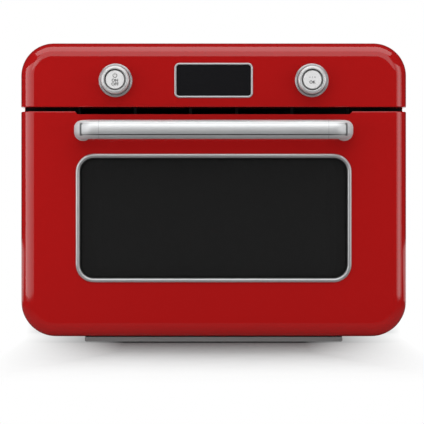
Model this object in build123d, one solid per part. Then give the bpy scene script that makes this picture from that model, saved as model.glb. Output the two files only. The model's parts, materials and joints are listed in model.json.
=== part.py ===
from build123d import *
import math
import os

# Countertop steam oven, in millimetres. +Z is up, the front faces -Y and +X is to the right.
# The origin is on the counter, in the middle of the footprint with the handle.

# Body seen from the front
body_width = 494.0
body_height = 376.0
foot_height = 7.5
top_corner_radius = 42.0
bottom_corner_radius = 45.0

# Body from front to back, the handle not counted
body_depth = 436.0
front_depth = 34.5
front_edge_radius = 18.0

# Outer casing and base
casing_inset = 2.5
casing_gap = 2.5
casing_sheet = 1.2
casing_overhang = 6.0
frame_recess = 0.5
rear_panel_recess = 10.8
base_pan_margin = 2.0
base_pan_overlap = 10.0
base_rim_height = 14.0
base_slot_length = 90.0
base_slot_width = 5.0
base_slot_pitch = 16.0
base_slot_rows = 5
base_slot_spacing = 200.0
base_slot_start = 150.0

# Seam between the control fascia and the door, which is also the cooling air outlet
fascia_height = 82.6
seam_gap = 5.6
seam_edge_radius = 1.2
outlet_width = 347.0
outlet_notch_depth = 3.8
outlet_notch_slope = 3.5
grille_stand = 1.5
grille_depth = 7.0
grille_height = 18.5
grille_bar = 3.0
grille_rib = 4.0
grille_cells = (-101.5, -30.0, 30.0, 101.5)

# Control fascia
fascia_wall = 2.5
skirt_thickness = 4.0
skirt_depth = 6.5
skirt_weld = 0.5
control_drop = 48.8
knob_spacing = 250.0

# Display
display_width = 100.1
display_height = 44.6
display_corner_radius = 6.5
display_trim_width = 2.6
display_trim_rise = 1.5
trim_crown = 0.2
display_glass_thickness = 2.0
display_cell_depth = 12.0
display_cell_inset = 4.6
display_frame_inset = 10.0

# Knobs and push buttons
bezel_diameter = 42.7
bezel_rise = 3.0
bezel_slope = 1.4
bezel_land = 1.6
knob_diameter = 36.0
knob_reach = 15.0
knob_edge_radius = 3.2
knob_wall = 4.3
knob_lip = 0.5
knob_skirt = 1.0
knob_skirt_wall = 2.0
knob_web = 4.0
knob_web_recess = 1.0
button_diameter = 23.4
button_thickness = 3.2
button_chamfer = 0.8
button_travel = 1.5
button_sink = 0.8
encoder_shaft_radius = 4.0
button_stem_radius = 2.4
encoder_size = 24.0
encoder_depth = 9.0
encoder_back = 2.0
board_depth = 27.0
board_thickness = 1.6
board_width = 300.0
board_height = 52.0
boss_radius = 3.5
boss_spacing = (180.0, 44.0)

# Door
door_wall = 2.0
door_lip_depth = 22.0
inner_panel_depth = 31.3
inner_panel_sheet = 1.5
inner_panel_rim = 6.0
inner_panel_low = 30.0
glass_thickness = 4.0
glass_lap = 8.0
window_width = 351.4
window_height = 163.7
window_drop = 54.2
window_corner_radius = 23.0
window_trim_width = 5.0
window_trim_rise = 2.5
window_gasket_width = 1.2
inner_window_margin = (20.0, 30.0)

# Door handle
handle_reach = 42.0
handle_height = 24.0
handle_thickness = 20.0
handle_edge_radius = 9.4
handle_drop = 24.6
handle_side_margin = 80.6
handle_end_length = 22.4
handle_bend_radius = 15.0
handle_foot_rim = 1.0
handle_foot_thickness = 3.0
handle_screw_length = 12.0

# Door hinges
hinge_margin = 59.0
hinge_plate = 4.0
hinge_bar_half_height = 3.0
hinge_pin_radius = 2.5
hinge_pin_length = 15.0
hinge_eye_radius = 6.0
hinge_arm_length = 88.0
hinge_arm_width = 16.0
hinge_arm_plate = 3.0
hinge_side_gap = 1.0
hinge_flange = (20.0, 1.5, 24.0)
hinge_spring_radius = 4.8

# Cavity
cavity_side_margin = 77.0
cavity_top_margin = 113.5
cavity_rear_margin = 50.3
cavity_floor_height = 64.5
cavity_sheet = 1.0
cavity_corner_radius = 14.0
frame_sheet = 1.2
gasket_inset = 2.0
gasket_width = 7.0
insulation_thickness = 14.0

# Convection fan and what is round it
fan_drop = 5.5
fan_cover_radius = 119.0
fan_cover_margin = 22.0
fan_cover_depth = 24.7
fan_cover_sheet = 1.2
fan_ear_offset = 120.0
fan_ear_radius = 16.0
fan_ear_dimple_radius = 12.0
fan_ear_dimple_depth = 4.0
fan_intake_rings = ((14.0, 22.0), (28.0, 36.0), (42.0, 52.0))
fan_outlet_rings = ((84.0, 93.0), (102.0, 110.0))
fan_outlet_angle = 38.0
fan_spoke = 5.0
fan_tip_gap = 10.0
fan_hub_radius = 11.0
fan_hub_length = 10.0
fan_back_gap = 4.0
fan_front_gap = 3.0
fan_blade_bow = 5.0
fan_blade_hook = 2.0
fan_blade_count = 10
fan_blade_sheet = 1.2
fan_shaft_radius = 4.0
fan_shaft_hole_radius = 6.0
motor_radius = 30.0
motor_length = 22.0
motor_gap = 1.0
motor_chamfer = 4.0
motor_post_radius = 4.0
motor_post_circle = 22.0
motor_shaft_depth = 13.0
ring_heater_gap = 9.0
ring_heater_angles = (100.0, 340.0)
heater_tube_radius = 3.2

# Grill heater under the cavity roof
grill_drop = 11.0
grill_half_width = 128.0
grill_loop_half_width = 58.0
grill_front_margin = 45.0
grill_back_margin = 70.0
grill_bend_radius = 12.0

# Side racks
rack_upright_radius = 2.5
rack_rail_radius = 2.0
rack_wall_gap = 3.5
rack_levels = 4
rack_first_level = 33.0
rack_top_gap = 45.0
rack_margin = 22.0
rack_peg_inset = 8.0
rack_front_gap = 34.0
rack_rear_gap = 47.0

# Lamp, probe and steam inlet in the cavity
lamp_distance = 76.3
lamp_drop = 34.0
lamp_lens_radius = 17.0
lamp_lens_rise = 3.0
lamp_housing_radius = 14.0
lamp_housing_length = 22.0
probe_side_gap = 22.0
probe_drop = 20.0
probe_radius = 2.2
probe_length = 22.0
probe_collar_length = 3.0
steam_rear_gap = 83.7
steam_drop = 66.0
steam_pipe_radius = 4.0
steam_flange_radius = 11.0
steam_flange_thickness = 2.0
steam_nozzle_reach = 5.0
steam_nozzle_wall = 1.5
steam_bore_depth = 13.0
wall_pipe_reach = 4.0

# Water system beside and above the cavity
tank_width = 118.0
tank_length = 168.0
tank_wall = 2.0
tank_corner_radius = 14.0
tank_side_distance = 131.0
tank_rear_distance = 111.0
tank_lid_thickness = 4.0
tank_lid_lap = 2.5
tank_lid_chamfer = 1.0
tank_pull_width = 54.0
tank_pull_length = 20.0
tank_pull_depth = 13.0
tank_spigot_radius = 5.0
tank_spigot_length = 5.0
cradle_wall = 1.8
cradle_rim = 5.0
cradle_sump = 3.0
hose_radius = 4.0
hose_bend_radius = 16.0
steam_bend_radius = 10.0
boiler_radius = 21.0
boiler_height = 105.0
boiler_stand = 26.0
boiler_chamfer = 5.0
boiler_lug_height = 8.0
pump_radius = 14.0
pump_length = 60.0
pump_stand = 16.0
pump_distance = 130.0
pump_head_width = 18.0
pump_head_inset = 8.0
pump_lug_height = 6.0
side_foot_length = 12.0
side_foot_width = 24.0

# Cooling blower and its duct
duct_sheet = 1.0
blower_radius = 33.0
blower_length = 150.0
blower_x = -112.0
blower_rear_distance = 168.0
blower_throat = 52.0
blower_inlet = (12.0, 20.0, 8.0)
rotor_radius = 26.0
rotor_blade_count = 12
rotor_blade_width = 7.0
rotor_blade_sheet = 1.0
rotor_blade_angle = 25.0
rotor_disc = 1.5
rotor_end_gap = 3.0
rotor_shaft_radius = 3.0
rotor_shaft_ends = (2.0, 12.0)
blower_motor_radius = 23.0
blower_motor_length = 28.0

# Power board on the left of the cavity
power_board_length = 170.0
power_board_height = 150.0
power_board_start = 130.0
power_board_stand = 24.0
board_standoff = 5.0
board_standoff_radius = 3.0
board_margin = 8.0
board_foot_length = 12.0
board_part_height = 18.0
board_components = ((34.0, 36.0, 34.0, 40.0), (84.0, 34.0, 40.0, 36.0), (42.0, 100.0, 46.0, 44.0),
                    (112.0, 96.0, 30.0, 50.0))

# Rear panel
rear_bulge_margin = (61.0, 19.0)
rear_bulge_radius = 24.0
rear_bulge_taper = 20.0
rear_slot_length = 92.0
rear_slot_height = 4.0
rear_slot_pitch = 13.0
rear_slot_rows = 8
gland_radius = 11.0
gland_bore_radius = 4.2
gland_rise = 9.0
gland_neck_step = 2.0
gland_lip = 3.0
gland_side_gap = 29.3
gland_height = 62.0
rear_screw_margin = 9.0
rear_screw_length = 7.0
screw_head_radius = 3.6
screw_head_height = 2.2
screw_radius = 1.8

# Feet and drip tray
foot_spacing = 300.0
foot_radius = 14.0
foot_chamfer = 1.5
front_foot_distance = 96.0
rear_foot_distance = 38.0
tray_width = 330.0
tray_front_distance = 12.0
tray_length = 60.0
tray_height = 6.0
tray_floor_gap = 1.0
tray_sheet = 1.2
tray_front_thickness = 3.0
tray_flange = 8.0
runner_lip = 6.0
runner_sheet = 1.4
runner_length = 30.0
runner_start = 43.0

# Clearances, and how far a cutting shape runs past what it cuts
over = 1.0
slip = 0.3
running_clearance = 0.05
knob_clearance = 0.7
lid_clearance = 0.6

# Places worked out from the sizes above
total_depth = body_depth + handle_reach
front_y = handle_reach - total_depth / 2
rear_y = total_depth / 2
body_low = foot_height
body_top = foot_height + body_height
fascia_low = body_top - fascia_height
door_top = fascia_low - seam_gap
notch_low = door_top - outlet_notch_depth
control_z = body_top - control_drop
handle_z = door_top - handle_drop
window_z = door_top - window_drop - window_height / 2
hinge_y = front_y + front_edge_radius
hinge_z = body_low + front_edge_radius
casing_front = front_y + front_depth + casing_gap
panel_inset = casing_inset + casing_sheet
frame_front = casing_front + frame_recess
frame_back = frame_front + frame_sheet
cavity_width = body_width - 2 * cavity_side_margin
cavity_back = rear_y - cavity_rear_margin
cavity_low = body_low + cavity_floor_height
cavity_high = body_top - cavity_top_margin
cavity_height = cavity_high - cavity_low
cavity_z = (cavity_low + cavity_high) / 2
insulation_high = cavity_high + cavity_sheet + insulation_thickness
insulation_side = cavity_width / 2 + cavity_sheet + insulation_thickness
insulation_back = cavity_back + cavity_sheet + insulation_thickness
fan_z = cavity_z - fan_drop
fan_cover_half_height = cavity_height / 2 - fan_cover_margin
ring_heater_radius = fan_cover_half_height - ring_heater_gap
fan_radius = ring_heater_radius - fan_tip_gap
casing_inside_top = body_top - panel_inset
casing_inside_side = body_width / 2 - panel_inset
casing_inside_low = body_low + panel_inset
pan_top = casing_inside_low + casing_sheet
base_pan_half = body_width / 2 - bottom_corner_radius - base_pan_margin
pan_inside = base_pan_half - casing_sheet - slip
handle_foot_spacing = body_width - 2 * handle_side_margin
handle_bar_length = handle_foot_spacing - 2 * handle_end_length
hinge_spacing = body_width - 2 * hinge_margin
rear_panel_y = rear_y - casing_overhang - rear_panel_recess
duct_low = insulation_high + slip
duct_high = duct_low + grille_height
side_space_x = (insulation_side + casing_inside_side) / 2
tank_x, tank_y = body_width / 2 - tank_side_distance, rear_y - tank_rear_distance
blower_y, blower_z = rear_y - blower_rear_distance, duct_low + blower_radius
lamp_y, lamp_z = frame_back + lamp_distance, cavity_high - lamp_drop
probe_x, probe_z = cavity_width / 2 - probe_side_gap, cavity_high - probe_drop
steam_y, steam_z = cavity_back - steam_rear_gap, cavity_high - steam_drop
gland_x, gland_z = -casing_inside_side + gland_side_gap, body_low + gland_height
grill_z = cavity_high - grill_drop
tank_top = body_top - casing_inset - tank_lid_thickness
cradle_floor_top = duct_low + tank_spigot_length + 2 * hose_radius + cradle_wall + slip
tank_low = cradle_floor_top + slip
pump_y, pump_z = front_y + pump_distance, pan_top + pump_stand + pump_radius


def block(x, y, z):
    """A box from its low and high ends along each axis."""
    ends = (x, y, z)
    size = [high - low for low, high in ends]
    centre = [(high + low) / 2 for low, high in ends]
    return Pos(*centre) * Box(*size)


def slab(profile, y_low, y_high):
    """A profile drawn as seen from the front, made solid from y_low back to y_high."""
    plane = Plane(origin=(0, y_high, 0), x_dir=(1, 0, 0), z_dir=(0, -1, 0))
    return extrude(plane * profile, y_high - y_low)


def sideways(profile, x_low, x_high):
    """A profile drawn in Y and Z, made solid from x_low to x_high."""
    return extrude(Plane(origin=(x_low, 0, 0), x_dir=(0, 1, 0), z_dir=(1, 0, 0)) * profile, x_high - x_low)


def rod(start, end, radius):
    """A round bar between two points."""
    line = Vector(*end) - Vector(*start)
    return extrude(Plane(origin=start, z_dir=line) * Circle(radius), line.length)


def turned(points, x, z):
    """A ring or disc turned about an axis along Y, from its (radius, y) points."""
    return Pos(x, 0, z) * revolve(make_face(Polyline(*points, close=True)), Axis.Y)


def bent_tube(points, bend_radius, radius):
    """A round tube of straight runs joined by arcs."""
    path = FilletPolyline(*points, radius=bend_radius)
    return sweep((path ^ 0) * Circle(radius), path=path)


def rounded(width, height, radius):
    """A rectangle with rounded corners."""
    return RectangleRounded(width, height, radius)


def outline(inset):
    """The body seen from the front, drawn the given distance inside its widest line."""
    half = body_width / 2 - inset
    low, high = body_low + inset, body_top - inset
    face = make_face(Polyline((-half, low), (half, low), (half, high), (-half, high), close=True))
    face = fillet(face.vertices().group_by(Axis.Y)[0], bottom_corner_radius - inset)
    return fillet(face.vertices().group_by(Axis.Y)[-1], top_corner_radius - inset)


def pillow(inset):
    """The rounded front of the body, the given distance inside its surface."""
    front = slab(outline(inset), front_y + inset, front_y + front_depth)
    return fillet(front.edges().group_by(Axis.Y)[0], front_edge_radius - inset)


def between(low, high):
    """All the space between two heights."""
    reach = body_width
    return block((-reach, reach), (-reach, reach), (low, high))


def seam_edges(shell, height):
    """The edges of a front moulding that run along the seam, without those at its back."""
    back = front_y + front_depth
    level = [e for e in shell.edges() if abs(e.center().Z - height) < 1e-4]
    return [e for e in level if e.center().Y < back - 1e-3]


# Casing, base and rear


def tank_opening_outline(extra):
    """The tank's plan, larger all round by the given distance."""
    return Pos(tank_x, tank_y) * rounded(
        tank_width + 2 * extra, tank_length + 2 * extra, tank_corner_radius + extra
    )


def outer_casing():
    rear = rear_y - casing_overhang
    wrap = slab(outline(casing_inset) - outline(panel_inset), casing_front, rear)
    half = base_pan_half - base_pan_overlap
    wrap -= block((-half, half), (casing_front - over, rear + over), (body_low, casing_inside_low + over))
    hole = tank_opening_outline(tank_lid_lap + lid_clearance)
    return wrap - Pos(0, 0, casing_inside_top - over) * extrude(hole, casing_sheet + 2 * over)


def base_pan():
    half = base_pan_half
    y_low, y_high = frame_back + hinge_flange[1] + slip, rear_panel_y
    rim_top = casing_inside_low + base_rim_height
    pan = block((-half, half), (y_low, y_high), (casing_inside_low, rim_top))
    pan -= block(
        (-half + casing_sheet, half - casing_sheet),
        (y_low + casing_sheet, y_high - casing_sheet),
        (pan_top, rim_top + over),
    )
    for row in range(base_slot_rows):
        y = hinge_y + base_slot_start + row * base_slot_pitch
        for side in (-1, 1):
            x = side * base_slot_spacing / 2
            pan -= block((x - base_slot_length / 2, x + base_slot_length / 2),
                         (y - base_slot_width / 2, y + base_slot_width / 2),
                         (casing_inside_low - over, pan_top + over))
    for side in (-1, 1):
        pan += tray_runner(side)
    return pan


def rear_bulge(inset, y_low):
    """The raised middle of the rear panel, narrowing towards the back."""
    width = body_width - 2 * (rear_bulge_margin[0] + inset)
    height = cavity_height + 2 * (rear_bulge_margin[1] - inset)
    sketch = Pos(0, cavity_z) * rounded(width, height, rear_bulge_radius - inset)
    plane = Plane(origin=(0, y_low, 0), x_dir=(-1, 0, 0), z_dir=(0, 1, 0))
    return extrude(plane * sketch, rear_y - inset - y_low, taper=rear_bulge_taper)


def rear_screw_places():
    """Where the rear panel is screwed on, as (x, z)."""
    half = casing_inside_side - rear_screw_margin
    reach = rear_screw_margin + bottom_corner_radius
    heights = (casing_inside_low + reach, cavity_z, casing_inside_top - reach)
    return [(side * half, z) for side in (-1, 1) for z in heights]


def rear_panel():
    plate = slab(outline(panel_inset + slip / 2), rear_panel_y, rear_panel_y + casing_sheet)
    plate += rear_bulge(0, rear_panel_y + casing_sheet / 2)
    plate -= rear_bulge(casing_sheet, rear_panel_y - over)
    first = cavity_z - (rear_slot_rows - 1) * rear_slot_pitch / 2
    for side in (-1, 1):
        for row in range(rear_slot_rows):
            middle = Pos(side * (body_width / 2 - rear_bulge_margin[0]) / 2, first + row * rear_slot_pitch)
            slot = middle * Rectangle(rear_slot_length, rear_slot_height)
            plate -= slab(slot, rear_y - casing_sheet - over, rear_y + over)
    plate -= slab(Pos(gland_x, gland_z) * Circle(gland_radius - gland_neck_step), rear_panel_y - over, rear_y)
    for x, z in rear_screw_places():
        plate -= slab(Pos(x, z) * Circle(screw_radius + slip), rear_panel_y - over, rear_y)
    return plate


def screw(tip, face, out, x, z):
    """A screw along Y from its tip to the face it clamps, with its head on the out side (1 back, -1 front)."""
    head = face + out * screw_head_height
    return turned(((0, tip), (screw_radius, tip), (screw_radius, face), (screw_head_radius, face),
                   (screw_head_radius, head), (0, head)), x, z)


def rear_screws():
    face = rear_panel_y + casing_sheet
    return [screw(face - rear_screw_length, face, 1, x, z) for x, z in rear_screw_places()]


def cord_gland():
    face = rear_panel_y + casing_sheet
    neck = gland_radius - gland_neck_step - slip
    low, high = rear_panel_y - gland_lip, face + gland_rise
    points = ((0, low), (neck, low), (neck, face), (gland_radius, face), (gland_radius, face + gland_lip),
              ((neck + gland_bore_radius) / 2, high), (gland_bore_radius, high),
              (gland_bore_radius, rear_panel_y), (0, rear_panel_y))
    return turned(points, gland_x, gland_z)


def feet():
    places = [(side * foot_spacing / 2, y) for y in (front_y + front_foot_distance, rear_y - rear_foot_distance)
              for side in (-1, 1)]
    top, narrow = casing_inside_low, foot_radius - foot_chamfer
    profile = make_face(Polyline(
        (0, 0), (narrow, 0), (foot_radius, foot_chamfer), (narrow, top), (0, top), close=True
    ))
    foot = revolve(Plane.XZ * profile, Axis.Z)
    return Compound([Pos(x, y, 0) * foot for x, y in places])


# Front frame, grille and control fascia


def front_frame():
    plate = slab(outline(panel_inset + slip / 2), frame_front, frame_back)
    plate -= slab(Pos(0, cavity_z) * rounded(cavity_width, cavity_height, cavity_corner_radius),
                  frame_front - over, frame_back + over)
    plate -= block((-grille_half() - slip, grille_half() + slip), (frame_front - over, frame_back + over),
                   (duct_low - slip, duct_high + slip))
    half_slot, half_bar = hinge_plate / 2 + slip, hinge_bar_half_height + slip
    for x, _ in hinge_sides():
        plate -= block((x - half_slot, x + half_slot), (frame_front - over, frame_back + over),
                       (hinge_z - half_bar, hinge_z + half_bar))
    return plate


def grille_half():
    """Half the width of the air outlet grille."""
    return outlet_width / 2 + outlet_notch_slope / 2


def vent_grille():
    half = grille_half()
    y_low = frame_front - grille_stand
    grille = block((-half, half), (y_low, y_low + grille_depth), (duct_low, duct_high))
    edges = (-half + grille_bar - grille_rib / 2, *grille_cells, half - grille_bar + grille_rib / 2)
    for left, right in zip(edges, edges[1:]):
        grille -= block((left + grille_rib / 2, right - grille_rib / 2),
                        (y_low - over, y_low + grille_depth + over),
                        (duct_low + grille_bar, duct_high - grille_bar))
    return grille


def knob_places():
    """The knobs' centres along X, left and right."""
    return (-knob_spacing / 2, knob_spacing / 2)


def boss_places():
    """Where the control board is screwed on, as (x, z)."""
    width, height = boss_spacing
    return [(x * width / 2, control_z + z * height / 2) for x in (-1, 1) for z in (-1, 1)]


def control_fascia():
    shell = pillow(0) & between(fascia_low, body_top + over)
    shell = fillet(seam_edges(shell, fascia_low), seam_edge_radius)
    shell -= pillow(fascia_wall) & between(fascia_low + fascia_wall, body_top + over)
    back, wall_back = front_y + front_depth, front_y + fascia_wall
    above = between(fascia_low + fascia_wall / 2, body_top + over)
    skirt_inset = fascia_wall - skirt_weld
    inner_line = outline(skirt_inset + skirt_thickness)
    shell += slab(outline(skirt_inset) - inner_line, back - skirt_depth, back) & above
    shell += slab(outline(panel_inset + slip) - inner_line, back - skirt_weld, frame_front) & above
    shell -= slab(Pos(0, control_z) * display_outline(display_trim_width / 2), front_y - over, wall_back + over)
    for x in knob_places():
        hole = Pos(x, control_z) * Circle(bezel_bore_radius() + bezel_land)
        shell -= slab(hole, front_y - over, wall_back + over)
    for x, z in boss_places():
        shell += slab(Pos(x, z) * Circle(boss_radius), front_y + fascia_wall / 2, front_y + board_depth)
    return shell


def display_outline(inset):
    """The display trim's outline, drawn the given distance inside its outer edge."""
    return rounded(display_width - 2 * inset, display_height - 2 * inset, display_corner_radius - inset)


def display_trim():
    centre = Pos(0, control_z)
    ring = slab(centre * (display_outline(0) - display_outline(display_trim_width)),
                front_y - display_trim_rise, front_y)
    front = ring.edges().group_by(Axis.Y)[0]
    ring = fillet(front, display_trim_width / 2 - trim_crown)
    collar = display_outline(display_trim_width / 2 + slip) - display_outline(display_trim_width)
    return ring + slab(centre * collar, front_y - trim_crown, front_y + fascia_wall)


def display_glass():
    back = front_y + display_glass_thickness
    return slab(Pos(0, control_z) * display_outline(display_trim_width + slip / 2), front_y, back)


def control_board():
    half = board_width / 2
    y_low = front_y + board_depth
    board = block((-half, half), (y_low, y_low + board_thickness),
                  (control_z - board_height / 2, control_z + board_height / 2))
    for x, z in boss_places():
        board -= slab(Pos(x, z) * Circle(screw_radius + slip), y_low - over, y_low + board_thickness + over)
    return board + display_module()


def display_module():
    glass_back = front_y + display_glass_thickness
    cell_back = front_y + display_cell_depth
    cell = slab(Pos(0, control_z) * display_outline(display_cell_inset), glass_back, cell_back)
    frame = Pos(0, control_z) * Rectangle(display_width - 2 * display_frame_inset,
                                          display_height - 2 * display_frame_inset)
    return cell + slab(frame, cell_back, front_y + board_depth)


def bezel_bore_radius():
    """The hole that the knob turns in."""
    return knob_diameter / 2 + knob_clearance


def knob_bezel(x):
    bore, outer = bezel_bore_radius(), bezel_diameter / 2
    neck = bore + bezel_land - slip
    front = front_y - bezel_rise
    points = ((bore, front), (outer - bezel_slope, front), (outer, front + bezel_slope), (outer, front_y),
              (neck, front_y), (neck, front_y + fascia_wall), (bore, front_y + fascia_wall))
    return turned(points, x, control_z)


def encoder(x):
    body_back = front_y + board_depth
    body_front = body_back - encoder_depth
    half = encoder_size / 2
    body = block((x - half, x + half), (body_front, body_back), (control_z - half, control_z + half))
    body += rod((x, body_front, control_z), (x, front_y - knob_web, control_z), encoder_shaft_radius)
    hole = button_stem_radius + running_clearance
    return body - rod((x, front_y - knob_web - over, control_z), (x, body_back - encoder_back, control_z), hole)


def knob_ring(x):
    outer, inner = knob_diameter / 2, knob_diameter / 2 - knob_wall
    front = front_y - knob_reach
    web_back = front_y - knob_web_recess
    bore = encoder_shaft_radius + running_clearance
    points = [(outer, front), (outer, front_y + knob_skirt), (outer - knob_skirt_wall, front_y + knob_skirt),
              (outer - knob_skirt_wall, web_back), (bore, web_back), (bore, web_back - knob_web),
              (inner, web_back - knob_web), (inner, front + knob_lip), (inner + knob_lip, front)]
    ring = turned(points, x, control_z)
    rim = ring.edges().group_by(Axis.Y)[0].sort_by(SortBy.LENGTH)[-1]
    return fillet(rim, knob_edge_radius)


def push_button(x):
    front = front_y - knob_reach + button_sink
    radius = button_diameter / 2
    back = front + button_thickness
    stem_end = front_y + board_depth - encoder_depth / 2 - button_travel
    points = ((0, front), (radius - button_chamfer, front), (radius, front + button_chamfer), (radius, back),
              (button_stem_radius, back), (button_stem_radius, stem_end), (0, stem_end))
    return turned(points, x, control_z)


# Door


def window_outline(inset):
    """The window trim's outline, drawn the given distance inside its outer edge."""
    return Pos(0, window_z) * rounded(
        window_width - 2 * inset, window_height - 2 * inset, window_corner_radius - inset
    )


def notch():
    """The shallow recess in the door's top edge, where the cooling air comes out."""
    half, top = outlet_width / 2, door_top + over
    slope = outlet_notch_slope * (top - notch_low) / outlet_notch_depth
    points = ((-half, notch_low), (half, notch_low), (half + slope, top), (-half - slope, top))
    return make_face(Polyline(*points, close=True))


def door_skin():
    back, wall_back = front_y + front_depth, front_y + door_wall
    shell = pillow(0) & between(body_low - over, door_top)
    shell = fillet(seam_edges(shell, door_top), seam_edge_radius)
    shell -= slab(notch(), front_y - over, back + over)
    shell -= pillow(door_wall) & between(body_low - over, notch_low - door_wall)
    lip_end = front_y + door_lip_depth
    shell -= block((-body_width, body_width), (lip_end, back + over), (0, hinge_z))
    half_slot = hinge_plate / 2 + hinge_side_gap
    for x, _ in hinge_sides():
        shell -= block((x - half_slot, x + half_slot), (hinge_y - hinge_side_gap, lip_end + over),
                       (body_low - over, hinge_z))
    shell -= slab(window_outline(window_trim_width / 2), front_y - over, wall_back + over)
    for x in handle_places():
        shell -= slab(Pos(x, handle_z) * Circle(screw_radius + slip), front_y - over, wall_back + over)
    return shell


def window_trim():
    ring = slab(window_outline(0) - window_outline(window_trim_width), front_y - window_trim_rise, front_y)
    ring = fillet(ring.edges().group_by(Axis.Y)[0], window_trim_width / 2 - trim_crown)
    collar = window_outline(window_trim_width / 2 + slip) - window_outline(window_trim_width)
    return ring + slab(collar, front_y - trim_crown, front_y + door_wall)


def window_gasket():
    inner = window_trim_width + window_gasket_width
    ring = window_outline(window_trim_width) - window_outline(inner)
    return slab(ring, front_y - trim_crown, front_y + door_wall)


def outer_glass():
    back = front_y + door_wall + glass_thickness
    return slab(window_outline(-glass_lap), front_y + door_wall, back)


def inner_window(extra):
    """The window in the door's inner panel, larger all round by the given distance."""
    side, rise = inner_window_margin
    width, height = cavity_width - 2 * (side - extra), cavity_height - 2 * (rise - extra)
    return Pos(0, window_z) * rounded(width, height, window_corner_radius / 2 + extra)


def inner_glass():
    back = front_y + inner_panel_depth
    return slab(inner_window(glass_lap), back - glass_thickness, back)


def door_inner_panel():
    front = front_y + inner_panel_depth
    top = notch_low - door_wall - slip
    keep = between(inner_panel_low, top)
    inset = door_wall + slip
    panel = slab(outline(inset), front, front + inner_panel_sheet) & keep
    rim = slab(outline(inset) - outline(inset + inner_panel_sheet), front - inner_panel_rim, front) & keep
    panel += rim
    half = body_width / 2 - bottom_corner_radius
    for low, high in ((inner_panel_low, inner_panel_low + inner_panel_sheet), (top - inner_panel_sheet, top)):
        panel += block((-half, half), (front - inner_panel_rim, front), (low, high))
    return panel - slab(inner_window(0), front - over, front + inner_panel_sheet + over)


def hinge_sides():
    """The two hinges' middles along X, with which way is outward."""
    return ((-hinge_spacing / 2, -1), (hinge_spacing / 2, 1))


def hinge_bracket(x, side):
    half = hinge_plate / 2
    bar = sideways(
        Pos((hinge_y + frame_back) / 2, hinge_z) * Rectangle(frame_back - hinge_y, 2 * hinge_bar_half_height),
        x - half, x + half)
    bar += rod((x - half, hinge_y, hinge_z), (x + half, hinge_y, hinge_z), hinge_bar_half_height)
    inward, outward = half + hinge_pin_length / 3, half + hinge_pin_length / 2
    bar += rod((x - side * inward, hinge_y, hinge_z), (x + side * outward, hinge_y, hinge_z), hinge_pin_radius)
    width, thickness, height = hinge_flange
    low = hinge_z - height / 3
    bar += block((x - width / 2, x + width / 2), (frame_back, frame_back + thickness), (low, low + height))
    return bar


def hinge_springs():
    """A coiled torsion spring on each hinge pin, drawn as the sleeve that its turns fill."""
    springs = []
    for x, side in hinge_sides():
        near = x - side * hinge_plate / 2
        far = near - side * (hinge_pin_length / 3 - slip)
        sleeve = rod((near, hinge_y, hinge_z), (far, hinge_y, hinge_z), hinge_spring_radius)
        start, end = near + side * over, far - side * over
        springs.append(sleeve - rod((start, hinge_y, hinge_z), (end, hinge_y, hinge_z),
                                    hinge_pin_radius + running_clearance))
    return Compound(springs)


def hinge_arm(x, side):
    near = x + side * (hinge_plate / 2 + hinge_side_gap)
    low, high = sorted((near, near + side * hinge_arm_plate))
    rear = front_y + inner_panel_depth
    foot = hinge_eye_radius
    rim_top = inner_panel_low + inner_panel_sheet + slip
    points = ((hinge_y - foot * 0.7, hinge_z + foot * 0.5), (hinge_y + foot * 0.7, hinge_z + foot * 0.3),
              (rear - inner_panel_rim - slip, rim_top), (rear, rim_top), (rear, hinge_z + hinge_arm_length),
              (rear - hinge_arm_width, hinge_z + hinge_arm_length),
              (hinge_y - foot * 0.7, hinge_z + hinge_arm_width * 1.5))
    arm = sideways(make_face(Polyline(*points, close=True)), low, high)
    arm += rod((low, hinge_y, hinge_z), (high, hinge_y, hinge_z), hinge_eye_radius)
    return arm - rod((low - over, hinge_y, hinge_z), (high + over, hinge_y, hinge_z),
                     hinge_pin_radius + running_clearance)


# Handle


def handle_places():
    """The handle feet's centres along X."""
    return (-handle_foot_spacing / 2, handle_foot_spacing / 2)


def handle_section():
    """The grip's section, its depth across and its height up."""
    return rounded(handle_thickness, handle_height, handle_edge_radius)


def handle_bar():
    half = handle_bar_length / 2
    y = front_y - handle_reach + handle_thickness / 2
    return sideways(Pos(y, handle_z) * handle_section(), -half, half)


def handle_end(x):
    side = 1 if x > 0 else -1
    y = front_y - handle_reach + handle_thickness / 2
    start = (side * handle_bar_length / 2, y, handle_z)
    path = FilletPolyline(start, (x, y, handle_z), (x, front_y, handle_z), radius=handle_bend_radius)
    plane = Plane(origin=start, x_dir=(0, 1, 0), z_dir=(1, 0, 0))
    elbow = sweep(plane * handle_section(), path=path)
    foot = Pos(x, handle_z) * rounded(handle_thickness + 2 * handle_foot_rim,
                                      handle_height + 2 * handle_foot_rim, handle_edge_radius + handle_foot_rim)
    flange = slab(foot, front_y - handle_foot_thickness, front_y)
    flange = fillet(flange.edges().group_by(Axis.Y)[0], handle_foot_rim)
    end = elbow + flange
    hole = Pos(x, handle_z) * Circle(screw_radius + running_clearance)
    return end - slab(hole, front_y - handle_screw_length, front_y + over)


def handle_screws():
    face = front_y + door_wall
    return Compound([screw(face - handle_screw_length, face, 1, x, handle_z) for x in handle_places()])


# Cavity and what is in it


def cavity_box(extra):
    """The cavity's room, larger all round by the given distance but open at the front."""
    radius = cavity_corner_radius + extra
    sketch = Pos(0, cavity_z) * rounded(cavity_width + 2 * extra, cavity_height + 2 * extra, radius)
    room = slab(sketch, frame_back, cavity_back + extra)
    return fillet(room.edges().group_by(Axis.Y)[-1], radius - 0.5)


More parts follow.
